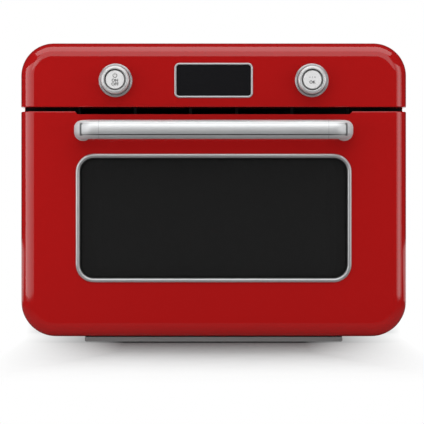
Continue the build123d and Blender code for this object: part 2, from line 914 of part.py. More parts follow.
def wall_holes(extra):
    """What passes through the cavity's walls, wider by the given distance."""
    back_low, back_high = cavity_back - over, insulation_back + over
    inside, outside = cavity_width / 2 - over, insulation_side + over
    holes = rod((0, back_low, fan_z), (0, back_high, fan_z), fan_shaft_hole_radius + extra)
    for x in (-grill_half_width, grill_half_width):
        holes += rod((x, back_low, grill_z), (x, back_high, grill_z), heater_tube_radius + slip + extra)
    holes += rod((probe_x, back_low, probe_z), (probe_x, back_high, probe_z), probe_radius + slip + extra)
    holes += rod((inside, steam_y, steam_z), (outside, steam_y, steam_z), steam_pipe_radius + slip + extra)
    holes += rod((-inside, lamp_y, lamp_z), (-outside, lamp_y, lamp_z), lamp_housing_radius + slip + extra)
    return holes


def cavity():
    return cavity_box(cavity_sheet) - cavity_box(0) - wall_holes(0)


def insulation_blanket():
    grow = cavity_sheet + insulation_thickness
    outer = block((-cavity_width / 2 - grow, cavity_width / 2 + grow), (frame_back + over, insulation_back),
                  (cavity_low - grow, cavity_high + grow))
    inner = block((-cavity_width / 2 - cavity_sheet, cavity_width / 2 + cavity_sheet),
                  (frame_back, cavity_back + cavity_sheet),
                  (cavity_low - cavity_sheet, cavity_high + cavity_sheet))
    post_room = rod((0, cavity_back, fan_z), (0, insulation_back + over, fan_z), motor_radius)
    return outer - inner - wall_holes(slip) - post_room


def cavity_gasket():
    inner, outer = gasket_line(gasket_inset), gasket_line(gasket_inset + gasket_width)
    y_low = front_y + inner_panel_depth + inner_panel_sheet + slip
    ring = slab(outer - inner, y_low, frame_front)
    return chamfer(ring.edges().group_by(Axis.Y)[0], gasket_width / 4)


def gasket_line(extra):
    """The cavity's mouth seen from the front, larger all round by the given distance."""
    return Pos(0, cavity_z) * rounded(
        cavity_width + 2 * extra, cavity_height + 2 * extra, cavity_corner_radius + extra
    )


def side_rack(side):
    x = side * (cavity_width / 2 - rack_wall_gap - rack_upright_radius)
    low, high = cavity_low + rack_margin, cavity_high - rack_margin
    ends = (frame_back + rack_front_gap, cavity_back - rack_rear_gap)
    rack = rod((x, ends[0], low), (x, ends[0], high), rack_upright_radius)
    rack += rod((x, ends[1], low), (x, ends[1], high), rack_upright_radius)
    first = cavity_low + rack_first_level
    pitch = (cavity_high - rack_top_gap - first) / (rack_levels - 1)
    for level in range(rack_levels):
        z = first + level * pitch
        rack += rod((x, ends[0], z), (x, ends[1], z), rack_rail_radius)
    wall = side * cavity_width / 2
    for y in ends:
        rack += rod((x, y, high - rack_peg_inset), (wall, y, high - rack_peg_inset), rack_rail_radius)
    return rack


def clipped_disc(radius, half_height):
    """A disc about the fan's axis with its top and bottom cut off flat."""
    disc = Circle(radius) & Rectangle(2 * radius, 2 * half_height)
    return Pos(0, fan_z) * disc


def ear(radius, side):
    """A round screw ear beside the fan cover."""
    return Pos(side * fan_ear_offset, fan_z) * Circle(radius)


def ring_slots(inner, outer, start, end, gaps):
    """Arc slots between two radii, from the start angle to the end angle, with spokes between them."""
    ring = Circle(outer) - Circle(inner)
    step = (end - start) / gaps
    middle = (inner + outer) / 2
    slots = []
    for index in range(gaps):
        first = math.radians(start + index * step) + fan_spoke / 2 / middle
        last = math.radians(start + (index + 1) * step) - fan_spoke / 2 / middle
        reach = 2 * outer
        bend = (first + last) / 2
        wedge = make_face(Polyline(
            (0, 0), (reach * math.cos(first), reach * math.sin(first)),
            (reach * math.cos(bend), reach * math.sin(bend)),
            (reach * math.cos(last), reach * math.sin(last)), close=True))
        slots.append(Pos(0, fan_z) * (ring & wedge))
    return slots


def fan_cover():
    front = cavity_back - fan_cover_depth
    shape = clipped_disc(fan_cover_radius, fan_cover_half_height)
    for side in (-1, 1):
        shape += ear(fan_ear_radius, side)
    cover = slab(shape, front, cavity_back)
    hollow = clipped_disc(fan_cover_radius - fan_cover_sheet, fan_cover_half_height - fan_cover_sheet)
    for side in (-1, 1):
        hollow += ear(fan_ear_radius - fan_cover_sheet, side)
    cover -= slab(hollow, front + fan_cover_sheet, cavity_back + over)
    for side in (-1, 1):
        cup = ear(fan_ear_dimple_radius + fan_cover_sheet, side)
        cover += slab(cup, front, front + fan_ear_dimple_depth + fan_cover_sheet)
        cover -= slab(ear(fan_ear_dimple_radius, side), front - over, front + fan_ear_dimple_depth)
        cover -= slab(ear(screw_radius + slip, side), front, front + 2 * fan_ear_dimple_depth)
    slots = []
    for inner, outer in fan_intake_rings:
        slots += ring_slots(inner, outer, 45, 405, 4)
    for inner, outer in fan_outlet_rings:
        slots += ring_slots(inner, outer, -fan_outlet_angle, fan_outlet_angle, 2)
        slots += ring_slots(inner, outer, 180 - fan_outlet_angle, 180 + fan_outlet_angle, 2)
    for slot in slots:
        cover -= slab(slot, front - over, front + fan_cover_sheet + over)
    return cover


def fan_cover_screws():
    face = cavity_back - fan_cover_depth + fan_ear_dimple_depth
    return [screw(cavity_back, face, -1, side * fan_ear_offset, fan_z) for side in (-1, 1)]


def fan_impeller():
    back = cavity_back - fan_back_gap
    front = cavity_back - fan_cover_depth + fan_cover_sheet + fan_front_gap
    wheel = slab(Pos(0, fan_z) * Circle(fan_radius), back - fan_blade_sheet, back)
    wheel += slab(Pos(0, fan_z) * Circle(fan_hub_radius), back - fan_hub_length, back)
    root, end = fan_radius * 0.55, fan_radius - fan_blade_hook
    for index in range(fan_blade_count):
        arc = ThreePointArc((root, 0), ((root + end) / 2, fan_blade_bow), (end, fan_blade_hook))
        blade = Rot(0, 0, index * 360 / fan_blade_count) * thick_line(arc, fan_blade_sheet)
        wheel += slab(Pos(0, fan_z) * blade, front, back)
    tip = insulation_back + motor_shaft_depth
    return wheel + rod((0, back - fan_hub_length, fan_z), (0, tip, fan_z), fan_shaft_radius)


def thick_line(line, thickness):
    """A strip of the given thickness on one side of a curved line."""
    other = Pos(0, -thickness) * line
    ends = [Line(line @ 0, other @ 0), Line(line @ 1, other @ 1)]
    return make_face([line, other, *ends])


def fan_motor():
    front = insulation_back + motor_gap
    back = front + motor_length
    motor = slab(Pos(0, fan_z) * Circle(motor_radius), front, back)
    motor = chamfer(motor.edges().group_by(Axis.Y)[-1], motor_chamfer)
    for angle in (90, 210, 330):
        x = motor_post_circle * math.cos(math.radians(angle))
        z = fan_z + motor_post_circle * math.sin(math.radians(angle))
        motor += rod((x, cavity_back + cavity_sheet, z), (x, front + over, z), motor_post_radius)
    bore_end = insulation_back + motor_shaft_depth + slip
    return motor - rod((0, front - over, fan_z), (0, bore_end, fan_z), fan_shaft_radius + running_clearance)


def ring_heater():
    y = cavity_back - fan_cover_depth / 2
    path = CenterArc((0, 0), ring_heater_radius, *ring_heater_angles)
    plane = Plane(origin=(0, y, fan_z), x_dir=(1, 0, 0), z_dir=(0, -1, 0))
    path = plane * path
    ring = sweep((path ^ 0) * Circle(heater_tube_radius), path=path)
    for end in (path @ 0, path @ 1):
        ring += rod((end.X, y - heater_tube_radius, end.Z), (end.X, cavity_back, end.Z), heater_tube_radius)
    return ring


def grill_element():
    front, back = frame_back + grill_front_margin, cavity_back - grill_back_margin
    end = cavity_back + cavity_sheet + wall_pipe_reach
    z = grill_z
    corners = [(-grill_half_width, end, z), (-grill_half_width, front, z), (-grill_loop_half_width, front, z),
               (-grill_loop_half_width, back, z), (grill_loop_half_width, back, z),
               (grill_loop_half_width, front, z), (grill_half_width, front, z), (grill_half_width, end, z)]
    return bent_tube(corners, grill_bend_radius, heater_tube_radius)


def cavity_lamp():
    wall = -cavity_width / 2
    lens = rod((wall, lamp_y, lamp_z), (wall + lamp_lens_rise, lamp_y, lamp_z), lamp_lens_radius)
    lens = chamfer(lens.edges().group_by(Axis.X)[-1], lamp_lens_rise - 1)
    return lens + rod((wall, lamp_y, lamp_z), (wall - lamp_housing_length, lamp_y, lamp_z), lamp_housing_radius)


def temperature_probe():
    wall, tip = cavity_back, cavity_back - probe_length
    rear = cavity_back + cavity_sheet + wall_pipe_reach
    probe = rod((probe_x, tip, probe_z), (probe_x, rear, probe_z), probe_radius)
    collar = rod((probe_x, wall - probe_collar_length, probe_z), (probe_x, wall, probe_z), 2.5 * probe_radius)
    return probe + collar


def steam_nozzle():
    wall = cavity_width / 2
    tip = wall - steam_nozzle_reach
    rear, flange = insulation_side + wall_pipe_reach, wall - steam_flange_thickness
    pipe = rod((tip, steam_y, steam_z), (rear, steam_y, steam_z), steam_pipe_radius)
    pipe += rod((flange, steam_y, steam_z), (wall, steam_y, steam_z), steam_flange_radius)
    bore = steam_pipe_radius - steam_nozzle_wall
    return pipe - rod((tip - over, steam_y, steam_z), (tip + steam_bore_depth, steam_y, steam_z), bore)


# Water system


def water_tank():
    outer = extrude(tank_opening_outline(0), tank_top - tank_low)
    inner = extrude(tank_opening_outline(-tank_wall), tank_top - tank_low)
    tank = Pos(0, 0, tank_low) * outer
    tank = chamfer(tank.edges().group_by(Axis.Z)[0], tank_wall / 2)
    tank -= Pos(0, 0, tank_low + tank_wall) * inner
    low = tank_low - tank_spigot_length
    return tank + rod((tank_x, tank_y, low), (tank_x, tank_y, tank_low + tank_wall), tank_spigot_radius)


def tank_lid():
    cap = Pos(0, 0, tank_top) * extrude(tank_opening_outline(tank_lid_lap), tank_lid_thickness)
    cap = chamfer(cap.edges().group_by(Axis.Z)[-1], tank_lid_chamfer)
    lid_top = tank_top + tank_lid_thickness
    cup = tank_pull(tank_wall, lid_top - tank_pull_depth - tank_wall, tank_top + over)
    return cap + cup - tank_pull(0, lid_top - tank_pull_depth, lid_top + over)


def tank_pull(extra, z_low, z_high):
    """The finger cup in the lid between two heights, larger all round by the given distance."""
    y = tank_y - tank_length / 2 + tank_pull_length
    half, across = tank_pull_width / 2 + extra, tank_pull_length / 2 + extra
    return block((tank_x - half, tank_x + half), (y - across, y + across), (z_low, z_high))


def tank_cradle():
    gap = lid_clearance
    floor = cradle_floor_top - cradle_wall
    outer = Pos(0, 0, floor) * extrude(tank_opening_outline(gap + cradle_wall), casing_inside_top - floor)
    rim_low = casing_inside_top - cradle_wall
    opening = tank_lid_lap + lid_clearance
    outer += Pos(0, 0, rim_low) * extrude(tank_opening_outline(opening + cradle_rim), cradle_wall)
    outer += Pos(0, 0, tank_top - cradle_wall - slip) * extrude(
        tank_opening_outline(opening + cradle_wall), casing_inside_top - tank_top + cradle_wall + slip)
    outer -= Pos(0, 0, cradle_floor_top) * extrude(tank_opening_outline(gap), casing_inside_top)
    outer -= Pos(0, 0, tank_top - slip) * extrude(tank_opening_outline(opening), casing_inside_top)
    low = cradle_floor_top - tank_spigot_length - cradle_wall - cradle_sump
    socket = tank_spigot_radius + slip + cradle_wall
    outer += rod((tank_x, tank_y, low), (tank_x, tank_y, cradle_floor_top), socket)
    return outer - rod((tank_x, tank_y, low + cradle_wall), (tank_x, tank_y, cradle_floor_top + over),
                       tank_spigot_radius + slip)


def water_hoses():
    hose_z = duct_low + hose_radius
    start = tank_x + tank_spigot_radius + slip + cradle_wall
    y = pump_y + pump_length / 2
    supply = bent_tube([(start, tank_y, hose_z), (side_space_x, tank_y, hose_z), (side_space_x, y, hose_z),
                        (side_space_x, y, pump_z + pump_radius)], hose_bend_radius, hose_radius)
    feed = rod((side_space_x, pump_y + pump_length, pump_z),
               (side_space_x, steam_y - boiler_radius, pump_z), hose_radius)
    return [supply, feed]


def side_foot(y, height, lug_height):
    """A foot on the base pan with a lug at its top that carries what stands beside the cavity."""
    along = (y - side_foot_width / 2, y + side_foot_width / 2)
    start = pan_inside - side_foot_length
    foot = block((start, pan_inside), along, (pan_top, height))
    return foot + block((start, side_space_x), along, (height - lug_height, height))


def water_pump():
    y_low, y_high = pump_y, pump_y + pump_length
    pump = rod((side_space_x, y_low, pump_z), (side_space_x, y_high, pump_z), pump_radius)
    half = pump_head_width / 2
    pump += block((side_space_x - half, side_space_x + half),
                  (y_low + pump_head_inset, y_high - pump_head_inset), (pump_z - pump_radius, pump_z))
    return pump + side_foot((y_low + y_high) / 2, pump_z, pump_lug_height)


def boiler():
    low = pan_top + boiler_stand
    body = rod((side_space_x, steam_y, low), (side_space_x, steam_y, low + boiler_height), boiler_radius)
    body = chamfer(body.edges().group_by(Axis.Z)[-1] + body.edges().group_by(Axis.Z)[0], boiler_chamfer)
    return body + side_foot(steam_y, low + boiler_lug_height, boiler_lug_height)


def steam_pipe():
    top = pan_top + boiler_stand + boiler_height
    points = [(side_space_x, steam_y, top), (side_space_x, steam_y, steam_z),
              (insulation_side + wall_pipe_reach, steam_y, steam_z)]
    return bent_tube(points, steam_bend_radius, steam_pipe_radius)


# Cooling blower


def duct_throat(inset):
    """The duct's section where it leaves the blower."""
    half = blower_length / 2
    return (blower_x - half + inset, blower_x + half - inset)


def cooling_duct():
    y_low = frame_front - grille_stand + grille_depth
    y_high = blower_y - blower_throat
    half = grille_half()

    def channel(inset):
        faces = []
        for y, (left, right) in ((y_low, (-half + inset, half - inset)), (y_high, duct_throat(inset))):
            plane = Plane(origin=((left + right) / 2, y, (duct_low + duct_high) / 2), x_dir=(1, 0, 0),
                          z_dir=(0, 1, 0))
            faces.append(plane * Rectangle(right - left, duct_high - duct_low - 2 * inset))
        return loft(faces)

    return channel(0) - channel(duct_sheet)


def blower_scroll(inset):
    """The blower housing from the side: a drum with a flat throat running forward."""
    throat_front = blower_y - blower_throat - (over if inset else 0)
    throat = make_face(Polyline((throat_front, duct_low + inset), (blower_y, duct_low + inset),
                                (blower_y, duct_high - inset), (throat_front, duct_high - inset), close=True))
    return Pos(blower_y, blower_z) * Circle(blower_radius - inset) + throat


def blower_housing():
    left, right = duct_throat(0)
    shell = sideways(blower_scroll(0), left, right)
    shell -= sideways(blower_scroll(duct_sheet), left + duct_sheet, right - duct_sheet)
    inset, length, depth = blower_inlet
    top = blower_z + blower_radius
    shell -= block((left + inset, right - inset), (blower_y - duct_sheet, blower_y - duct_sheet + length),
                   (top - depth, top + over))
    bore = rotor_shaft_radius + running_clearance
    return shell - rod((left - over, blower_y, blower_z), (right + over, blower_y, blower_z), bore)


def blower_rotor():
    left, right = duct_throat(duct_sheet + rotor_end_gap)
    rotor = rod((left, blower_y, blower_z), (left + rotor_disc, blower_y, blower_z), rotor_radius)
    rotor += rod((right - rotor_disc, blower_y, blower_z), (right, blower_y, blower_z), rotor_radius)
    section = Rot(0, 0, rotor_blade_angle) * Rectangle(rotor_blade_width, rotor_blade_sheet)
    section = Pos(rotor_radius - 0.6 * rotor_blade_width, 0) * section
    for index in range(rotor_blade_count):
        turn = Rot(0, 0, 360 * index / rotor_blade_count)
        rotor += sideways(Pos(blower_y, blower_z) * turn * section, left, right)
    (left_end, right_end), (past_left, past_right) = duct_throat(0), rotor_shaft_ends
    return rotor + rod((left_end - past_left, blower_y, blower_z), (right_end + past_right, blower_y, blower_z),
                       rotor_shaft_radius)


def blower_motor():
    start = duct_throat(0)[1]
    end = start + blower_motor_length
    motor = rod((start, blower_y, blower_z), (end, blower_y, blower_z), blower_motor_radius)
    motor = chamfer(motor.edges().group_by(Axis.X)[-1], motor_chamfer)
    bore_end = start + rotor_shaft_ends[1] + slip
    return motor - rod((start - over, blower_y, blower_z), (bore_end, blower_y, blower_z),
                       rotor_shaft_radius + running_clearance)


# Power board


def board_bracket():
    y_low = front_y + power_board_start
    y_high = y_low + power_board_length
    high = pan_top + power_board_stand + power_board_height
    plate = block((-pan_inside, -pan_inside + casing_sheet), (y_low, y_high), (pan_top, high))
    return plate + block((-pan_inside, -pan_inside + board_foot_length), (y_low, y_high),
                         (pan_top, pan_top + casing_sheet))


def power_board():
    y_low = front_y + power_board_start + board_margin
    y_high = y_low + power_board_length - 2 * board_margin
    low = pan_top + power_board_stand
    high = low + power_board_height - board_margin
    inside = -pan_inside - board_standoff
    outside = inside - board_thickness
    board = block((outside, inside), (y_low, y_high), (low, high))
    for y in (y_low + board_margin, y_high - board_margin):
        for z in (low + board_margin, high - board_margin):
            board += rod((-pan_inside, y, z), (inside - board_thickness / 2, y, z), board_standoff_radius)
    for y, z, width, height in board_components:
        board += block((outside - board_part_height, outside),
                       (y_low + y - width / 2, y_low + y + width / 2),
                       (low + z - height / 2, low + z + height / 2))
    return board


# Drip tray


def drip_tray():
    low, high = tray_floor_gap, tray_floor_gap + tray_height
    y_low = front_y + tray_front_distance
    y_high, y_inside = y_low + tray_length, y_low + tray_front_thickness
    half = tray_width / 2
    basin_half = half - tray_flange
    front = Pos(0, (low + high) / 2) * rounded(tray_width, tray_height, tray_height / 3)
    tray = block((-basin_half, basin_half), (y_low, y_high), (low, high)) + slab(front, y_low, y_inside)
    flange_low = tray_flange_low()
    tray += block((-half, half), (y_inside - over, y_high), (flange_low, flange_low + tray_sheet))
    return tray - block((-basin_half + tray_sheet, basin_half - tray_sheet), (y_inside, y_high - tray_sheet),
                        (low + tray_sheet, high + over))


def tray_flange_low():
    """The underside of the flanges that the drip tray hangs by."""
    return tray_floor_gap + tray_height - 2 * tray_sheet


def tray_runner(side):
    """The rail under the base that one edge of the drip tray slides on."""
    y = (front_y + runner_start, front_y + runner_start + runner_length)
    outside = tray_width / 2 + slip + runner_sheet
    web = sorted((side * (outside - runner_sheet), side * outside))
    lip = sorted((side * (tray_width / 2 - runner_lip), side * outside))
    lip_top = tray_flange_low() - slip
    rail = block(web, y, (lip_top - runner_sheet, casing_inside_low + casing_sheet / 2))
    return rail + block(lip, y, (lip_top - runner_sheet, lip_top))


def build():
    """Every node of the oven, by name."""
    left_x, right_x = knob_places()
    nodes = {
        "outer_casing": outer_casing(),
        "base_pan": base_pan(),
        "rear_panel": rear_panel(),
        "fixing_screws": Compound(rear_screws() + fan_cover_screws()),
        "cord_gland": cord_gland(),
        "feet": feet(),
        "front_frame": front_frame(),
        "vent_grille": vent_grille(),
        "control_fascia": control_fascia(),
        "display_trim": display_trim(),
        "display_glass": display_glass(),
        "control_board": control_board(),
        "knob_bezels": Compound([knob_bezel(left_x), knob_bezel(right_x)]),
        "encoders": Compound([encoder(left_x), encoder(right_x)]),
        "left_knob_ring": knob_ring(left_x),
        "right_knob_ring": knob_ring(right_x),
        "left_button": push_button(left_x),
        "right_button": push_button(right_x),
        "door_skin": door_skin(),
        "window_trim": window_trim(),
        "window_gasket": window_gasket(),
        "outer_glass": outer_glass(),
        "inner_glass": inner_glass(),
        "door_inner_panel": door_inner_panel(),
        "handle_bar": handle_bar(),
        "left_handle_end": handle_end(handle_places()[0]),
        "right_handle_end": handle_end(handle_places()[1]),
        "handle_screws": handle_screws(),
        "left_hinge_bracket": hinge_bracket(*hinge_sides()[0]),
        "right_hinge_bracket": hinge_bracket(*hinge_sides()[1]),
        "left_hinge_arm": hinge_arm(*hinge_sides()[0]),
        "right_hinge_arm": hinge_arm(*hinge_sides()[1]),
        "hinge_springs": hinge_springs(),
        "cavity": cavity(),
        "insulation_blanket": insulation_blanket(),
        "cavity_gasket": cavity_gasket(),
        "left_side_rack": side_rack(-1),
        "right_side_rack": side_rack(1),
        "fan_cover": fan_cover(),
        "fan_impeller": fan_impeller(),
        "fan_motor": fan_motor(),
        "ring_heater": ring_heater(),
        "grill_element": grill_element(),
        "cavity_lamp": cavity_lamp(),
        "temperature_probe": temperature_probe(),
        "steam_nozzle": steam_nozzle(),
        "boiler": boiler(),
        "water_pump": water_pump(),
        "water_and_steam_pipes": Compound([*water_hoses(), steam_pipe()]),
        "water_tank": water_tank(),
        "tank_lid": tank_lid(),
        "tank_cradle": tank_cradle(),
        "cooling_duct": cooling_duct(),
        "blower_housing": blower_housing(),
        "blower_rotor": blower_rotor(),
        "blower_motor": blower_motor(),
        "board_bracket": board_bracket(),
        "power_board": power_board(),
        "drip_tray": drip_tray(),
    }
    return nodes


os.makedirs("parts", exist_ok=True)
for name, shape in build().items():
    export_step(shape, f"parts/{name}.step")
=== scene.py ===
"""The looks of a countertop steam oven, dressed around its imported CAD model. Lengths are in metres."""

import json
import logging
import math
from dataclasses import dataclass, field
from enum import Enum
from typing import Callable, Sequence

import bmesh
import bpy
from bmesh.types import BMesh
from bpy.types import Material, Mesh, NodeSocket, NodeTree, Object
from mathutils import Matrix, Vector, noise


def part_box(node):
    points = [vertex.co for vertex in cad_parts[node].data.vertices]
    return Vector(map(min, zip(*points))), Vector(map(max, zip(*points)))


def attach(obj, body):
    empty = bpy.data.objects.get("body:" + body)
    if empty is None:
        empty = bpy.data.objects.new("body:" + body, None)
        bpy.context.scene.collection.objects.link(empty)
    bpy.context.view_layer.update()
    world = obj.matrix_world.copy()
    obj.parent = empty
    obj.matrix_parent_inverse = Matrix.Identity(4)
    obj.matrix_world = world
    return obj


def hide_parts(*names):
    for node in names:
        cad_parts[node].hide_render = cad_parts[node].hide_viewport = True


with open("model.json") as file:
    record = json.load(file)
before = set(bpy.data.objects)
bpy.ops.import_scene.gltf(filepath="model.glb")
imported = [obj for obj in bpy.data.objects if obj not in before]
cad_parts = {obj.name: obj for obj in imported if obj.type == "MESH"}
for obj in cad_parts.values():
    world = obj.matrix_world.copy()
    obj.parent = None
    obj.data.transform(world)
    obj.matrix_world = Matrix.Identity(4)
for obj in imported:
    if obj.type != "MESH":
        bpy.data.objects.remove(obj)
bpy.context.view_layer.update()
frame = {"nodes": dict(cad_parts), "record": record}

log = logging.getLogger("steam_oven")

MM = 0.001
PAPER_WHITE = (1, 1, 1, 1)
Colour = tuple[float, float, float]
Point = tuple[float, float]
Box = tuple[Vector, Vector]
Looks = dict[str, object]


class Body(Enum):
    """The CAD bodies that pieces ride on."""

    ROOT = "root"
    DOOR = "door"
    LEFT_BUTTON = "left_push_button"
    RIGHT_BUTTON = "right_push_button"
    BLOWER = "blower"
    TANK = "tank"


class Grain(Enum):
    """Which way a metal was brushed, as the stretch of its streaks along X, Y and Z."""

    ACROSS = (0.02, 1.0, 1.0)
    DEEP = (1.0, 0.02, 1.0)
    UPRIGHT = (1.0, 1.0, 0.02)


# Wiring nodes


@dataclass
class Wiring:
    """The nodes of one tree, added and joined by short calls."""

    tree: NodeTree

    def put(self, kind: str, feeds: dict | None = None, **settings: object) -> bpy.types.Node:
        """Adds a node.

        Args:
            kind: The node's type.
            feeds: What goes into its inputs, a value or a socket each, by name or number.
            **settings: The node's own options.

        Returns:
            The new node.
        """
        node = self.tree.nodes.new(kind)
        for name, value in settings.items():
            setattr(node, name, value)
        for key, value in (feeds or {}).items():
            self.feed(node.inputs[key], value)
        return node

    def feed(self, socket: NodeSocket, value: object) -> None:
        """Joins a socket to another, or gives it a value.

        Args:
            socket: The input.
            value: The socket or the value that goes into it.
        """
        if isinstance(value, NodeSocket):
            self.tree.links.new(value, socket)
        else:
            socket.default_value = value

    def here(self, stretch: Sequence[float] = (1, 1, 1), shift: Sequence[float] = (0, 0, 0)) -> NodeSocket:
        """The place on the object, moved by shift and then scaled by stretch.

        Args:
            stretch: The scale along X, Y and Z.
            shift: What is added along X, Y and Z, in metres, before scaling.

        Returns:
            The vector socket.
        """
        place = self.put("ShaderNodeTexCoord").outputs["Object"]
        offset = [a * b for a, b in zip(stretch, shift)]
        feeds = {"Vector": place, "Location": offset, "Scale": tuple(stretch)}
        return self.put("ShaderNodeMapping", feeds).outputs[0]

    def parts(self, vector: NodeSocket) -> Sequence[NodeSocket]:
        """The X, Y and Z of a vector."""
        return self.put("ShaderNodeSeparateXYZ", {0: vector}).outputs

    def length(self, vector: NodeSocket) -> NodeSocket:
        """The length of a vector."""
        return self.put("ShaderNodeVectorMath", {0: vector}, operation="LENGTH").outputs["Value"]

    def sum(self, operation: str, *terms: object) -> NodeSocket:
        """The result of one Math node."""
        return self.put("ShaderNodeMath", dict(enumerate(terms)), operation=operation).outputs[0]

    def ramp(self, value: object, low: object, high: object, start: object, end: object) -> NodeSocket:
        """A value taken from the range low to high into the range start to end, and kept within it."""
        feeds = {"Value": value, "From Min": low, "From Max": high, "To Min": start, "To Max": end}
        return self.put("ShaderNodeMapRange", feeds).outputs[0]

    def mix(self, factor: object, first: object, second: object, blend: str = "MIX") -> NodeSocket:
        """Two colours mixed by a factor."""
        feeds = {0: factor, 6: first, 7: second}
        return self.put("ShaderNodeMix", feeds, data_type="RGBA", blend_type=blend).outputs[2]

    def grey(self, value: NodeSocket) -> NodeSocket:
        """A value as a grey colour."""
        return self.put("ShaderNodeCombineColor", {0: value, 1: value, 2: value}).outputs[0]

    def noise(self, vector: object, scale: object, detail: float = 2.0, roughness: float = 0.5) -> NodeSocket:
        """The value of a noise texture."""
        feeds = {"Vector": vector, "Scale": scale, "Detail": detail, "Roughness": roughness}
        return self.put("ShaderNodeTexNoise", feeds).outputs[0]

    def bump(self, height: object, depth: float, normal: object = None) -> NodeSocket:
        """A normal bent by a height from 0 to 1 that stands for depth metres."""
        feeds = {"Height": height, "Distance": depth, "Strength": 1.0}
        return self.put("ShaderNodeBump", feeds if normal is None else {**feeds, "Normal": normal}).outputs[0]


@dataclass(frozen=True)
class SharedEffect:
    """A shader node group that several finishes use, built once.

    It reads a Vector, a Scale and its extras.
    """

    name: str
    scale: float
    outputs: tuple[str, ...]
    draw: Callable[[Wiring, dict], Looks]
    extras: tuple[tuple[str, str, object], ...] = ()

    def tree(self) -> NodeTree:
        """The group's tree, made the first time it is asked for.

        Returns:
            The node group.
        """
        found = bpy.data.node_groups.get(self.name)
        if found is not None:
            return found
        tree = bpy.data.node_groups.new(self.name, "ShaderNodeTree")
        every = (("Vector", "Vector", None), ("Scale", "Float", self.scale), *self.extras)
        for label, kind, default in every:
            socket = tree.interface.new_socket(label, in_out="INPUT", socket_type="NodeSocket" + kind)
            if default is not None:
                socket.default_value = default
        for label in self.outputs:
            kind = "NodeSocketColor" if label == "Colour" else "NodeSocketFloat"
            tree.interface.new_socket(label, in_out="OUTPUT", socket_type=kind)
        wiring = Wiring(tree)
        given = {s.name: s for s in wiring.put("NodeGroupInput").outputs}
        wiring.put("NodeGroupOutput", self.draw(wiring, given))
        return tree

    def use(self, wiring: Wiring, **feeds: object) -> dict[str, NodeSocket]:
        """Places the group in a material, on Object coordinates unless told otherwise.

        Args:
            wiring: The material's wiring.
            **feeds: Values or sockets for the group's inputs.

        Returns:
            The group's outputs by name.
        """
        feeds = {"Vector": feeds.get("Vector") or wiring.here(), **feeds}
        node = wiring.put("ShaderNodeGroup", node_tree=self.tree())
        for label, value in feeds.items():
            wiring.feed(node.inputs[label], value)
        return {s.name: s for s in node.outputs}


# Effects that several finishes share


def grown(w: Wiring, given: dict, times: float, detail: float = 2.0, roughness: float = 0.5) -> NodeSocket:
    """Noise at a multiple of the effect's scale."""
    scale = given["Scale"] if times == 1 else w.sum("MULTIPLY", given["Scale"], times)
    return w.noise(given["Vector"], scale, detail, roughness)


def shares(w: Wiring, first: object, part: float, second: object) -> NodeSocket:
    """Two values added, the first by its part and the second by what is left of one."""
    return w.sum("ADD", w.sum("MULTIPLY", first, part), w.sum("MULTIPLY", second, round(1 - part, 6)))


def draw_tone(w: Wiring, given: dict) -> Looks:
    """Colour that drifts a little in broad patches and fine specks.

    Args:
        w: The group's wiring.
        given: The group's inputs by name.

    Returns:
        The group's outputs by name.
    """
    both = shares(w, grown(w, given, 1, 3.0), 0.7, grown(w, given, 40.0))
    swing = w.sum("MULTIPLY", w.sum("SUBTRACT", both, 0.5), given["Amount"])
    factor = w.grey(w.sum("MULTIPLY_ADD", swing, 2.0, 1.0))
    return {"Colour": w.mix(1.0, given["Colour"], factor, "MULTIPLY")}


def draw_brushing(w: Wiring, given: dict) -> Looks:
    """Fine parallel scratches, long in the direction that the vector is squeezed."""
    streak = shares(w, grown(w, given, 1, 4.0, 0.65), 0.75, grown(w, given, 0.22))
    return {"Streak": w.ramp(streak, 0.3, 0.7, 0.0, 1.0), "Height": streak}


def draw_peel(w: Wiring, given: dict) -> Looks:
    """The soft waviness of baked enamel."""
    return {"Height": shares(w, grown(w, given, 1, 1.0), 0.8, grown(w, given, 3.1, 1.0))}


def draw_spangle(w: Wiring, given: dict) -> Looks:
    """The frosted crystals of galvanised sheet.

    Args:
        w: The group's wiring.
        given: The group's inputs by name.

    Returns:
        The group's outputs by name.
    """
    feeds = {"Vector": given["Vector"], "Scale": given["Scale"], "Randomness": 1.0}
    cells = w.put("ShaderNodeTexVoronoi", feeds)
    grey = w.put("ShaderNodeSeparateColor", {0: cells.outputs["Color"]}).outputs[0]
    frost = grown(w, given, 14.0, 3.0)
    return {"Tone": w.sum("MULTIPLY_ADD", grey, 0.8, w.sum("MULTIPLY", frost, 0.2)), "Height": frost}


def draw_moulding(w: Wiring, given: dict) -> Looks:
    """The fine eroded texture of a moulding tool.

    Args:
        w: The group's wiring.
        given: The group's inputs by name.

    Returns:
        The group's outputs by name.
    """
    feeds = {"Vector": given["Vector"], "Scale": given["Scale"], "Smoothness": 0.6}
    cells = w.put("ShaderNodeTexVoronoi", feeds, feature="SMOOTH_F1").outputs["Distance"]
    grit = grown(w, given, 1.7)
    return {"Height": shares(w, cells, 0.6, grit), "Grit": grit}


def draw_marks(w: Wiring, given: dict) -> Looks:
    """Faint cloths' and fingers' marks, as patches that come and go."""
    mask = w.ramp(grown(w, given, 1, 3.0, 0.6), 0.45, 0.75, 0.0, 1.0)
    return {"Mask": w.sum("MULTIPLY", mask, w.ramp(grown(w, given, 9.0, 4.0, 0.7), 0.3, 0.8, 0.3, 1.0))}


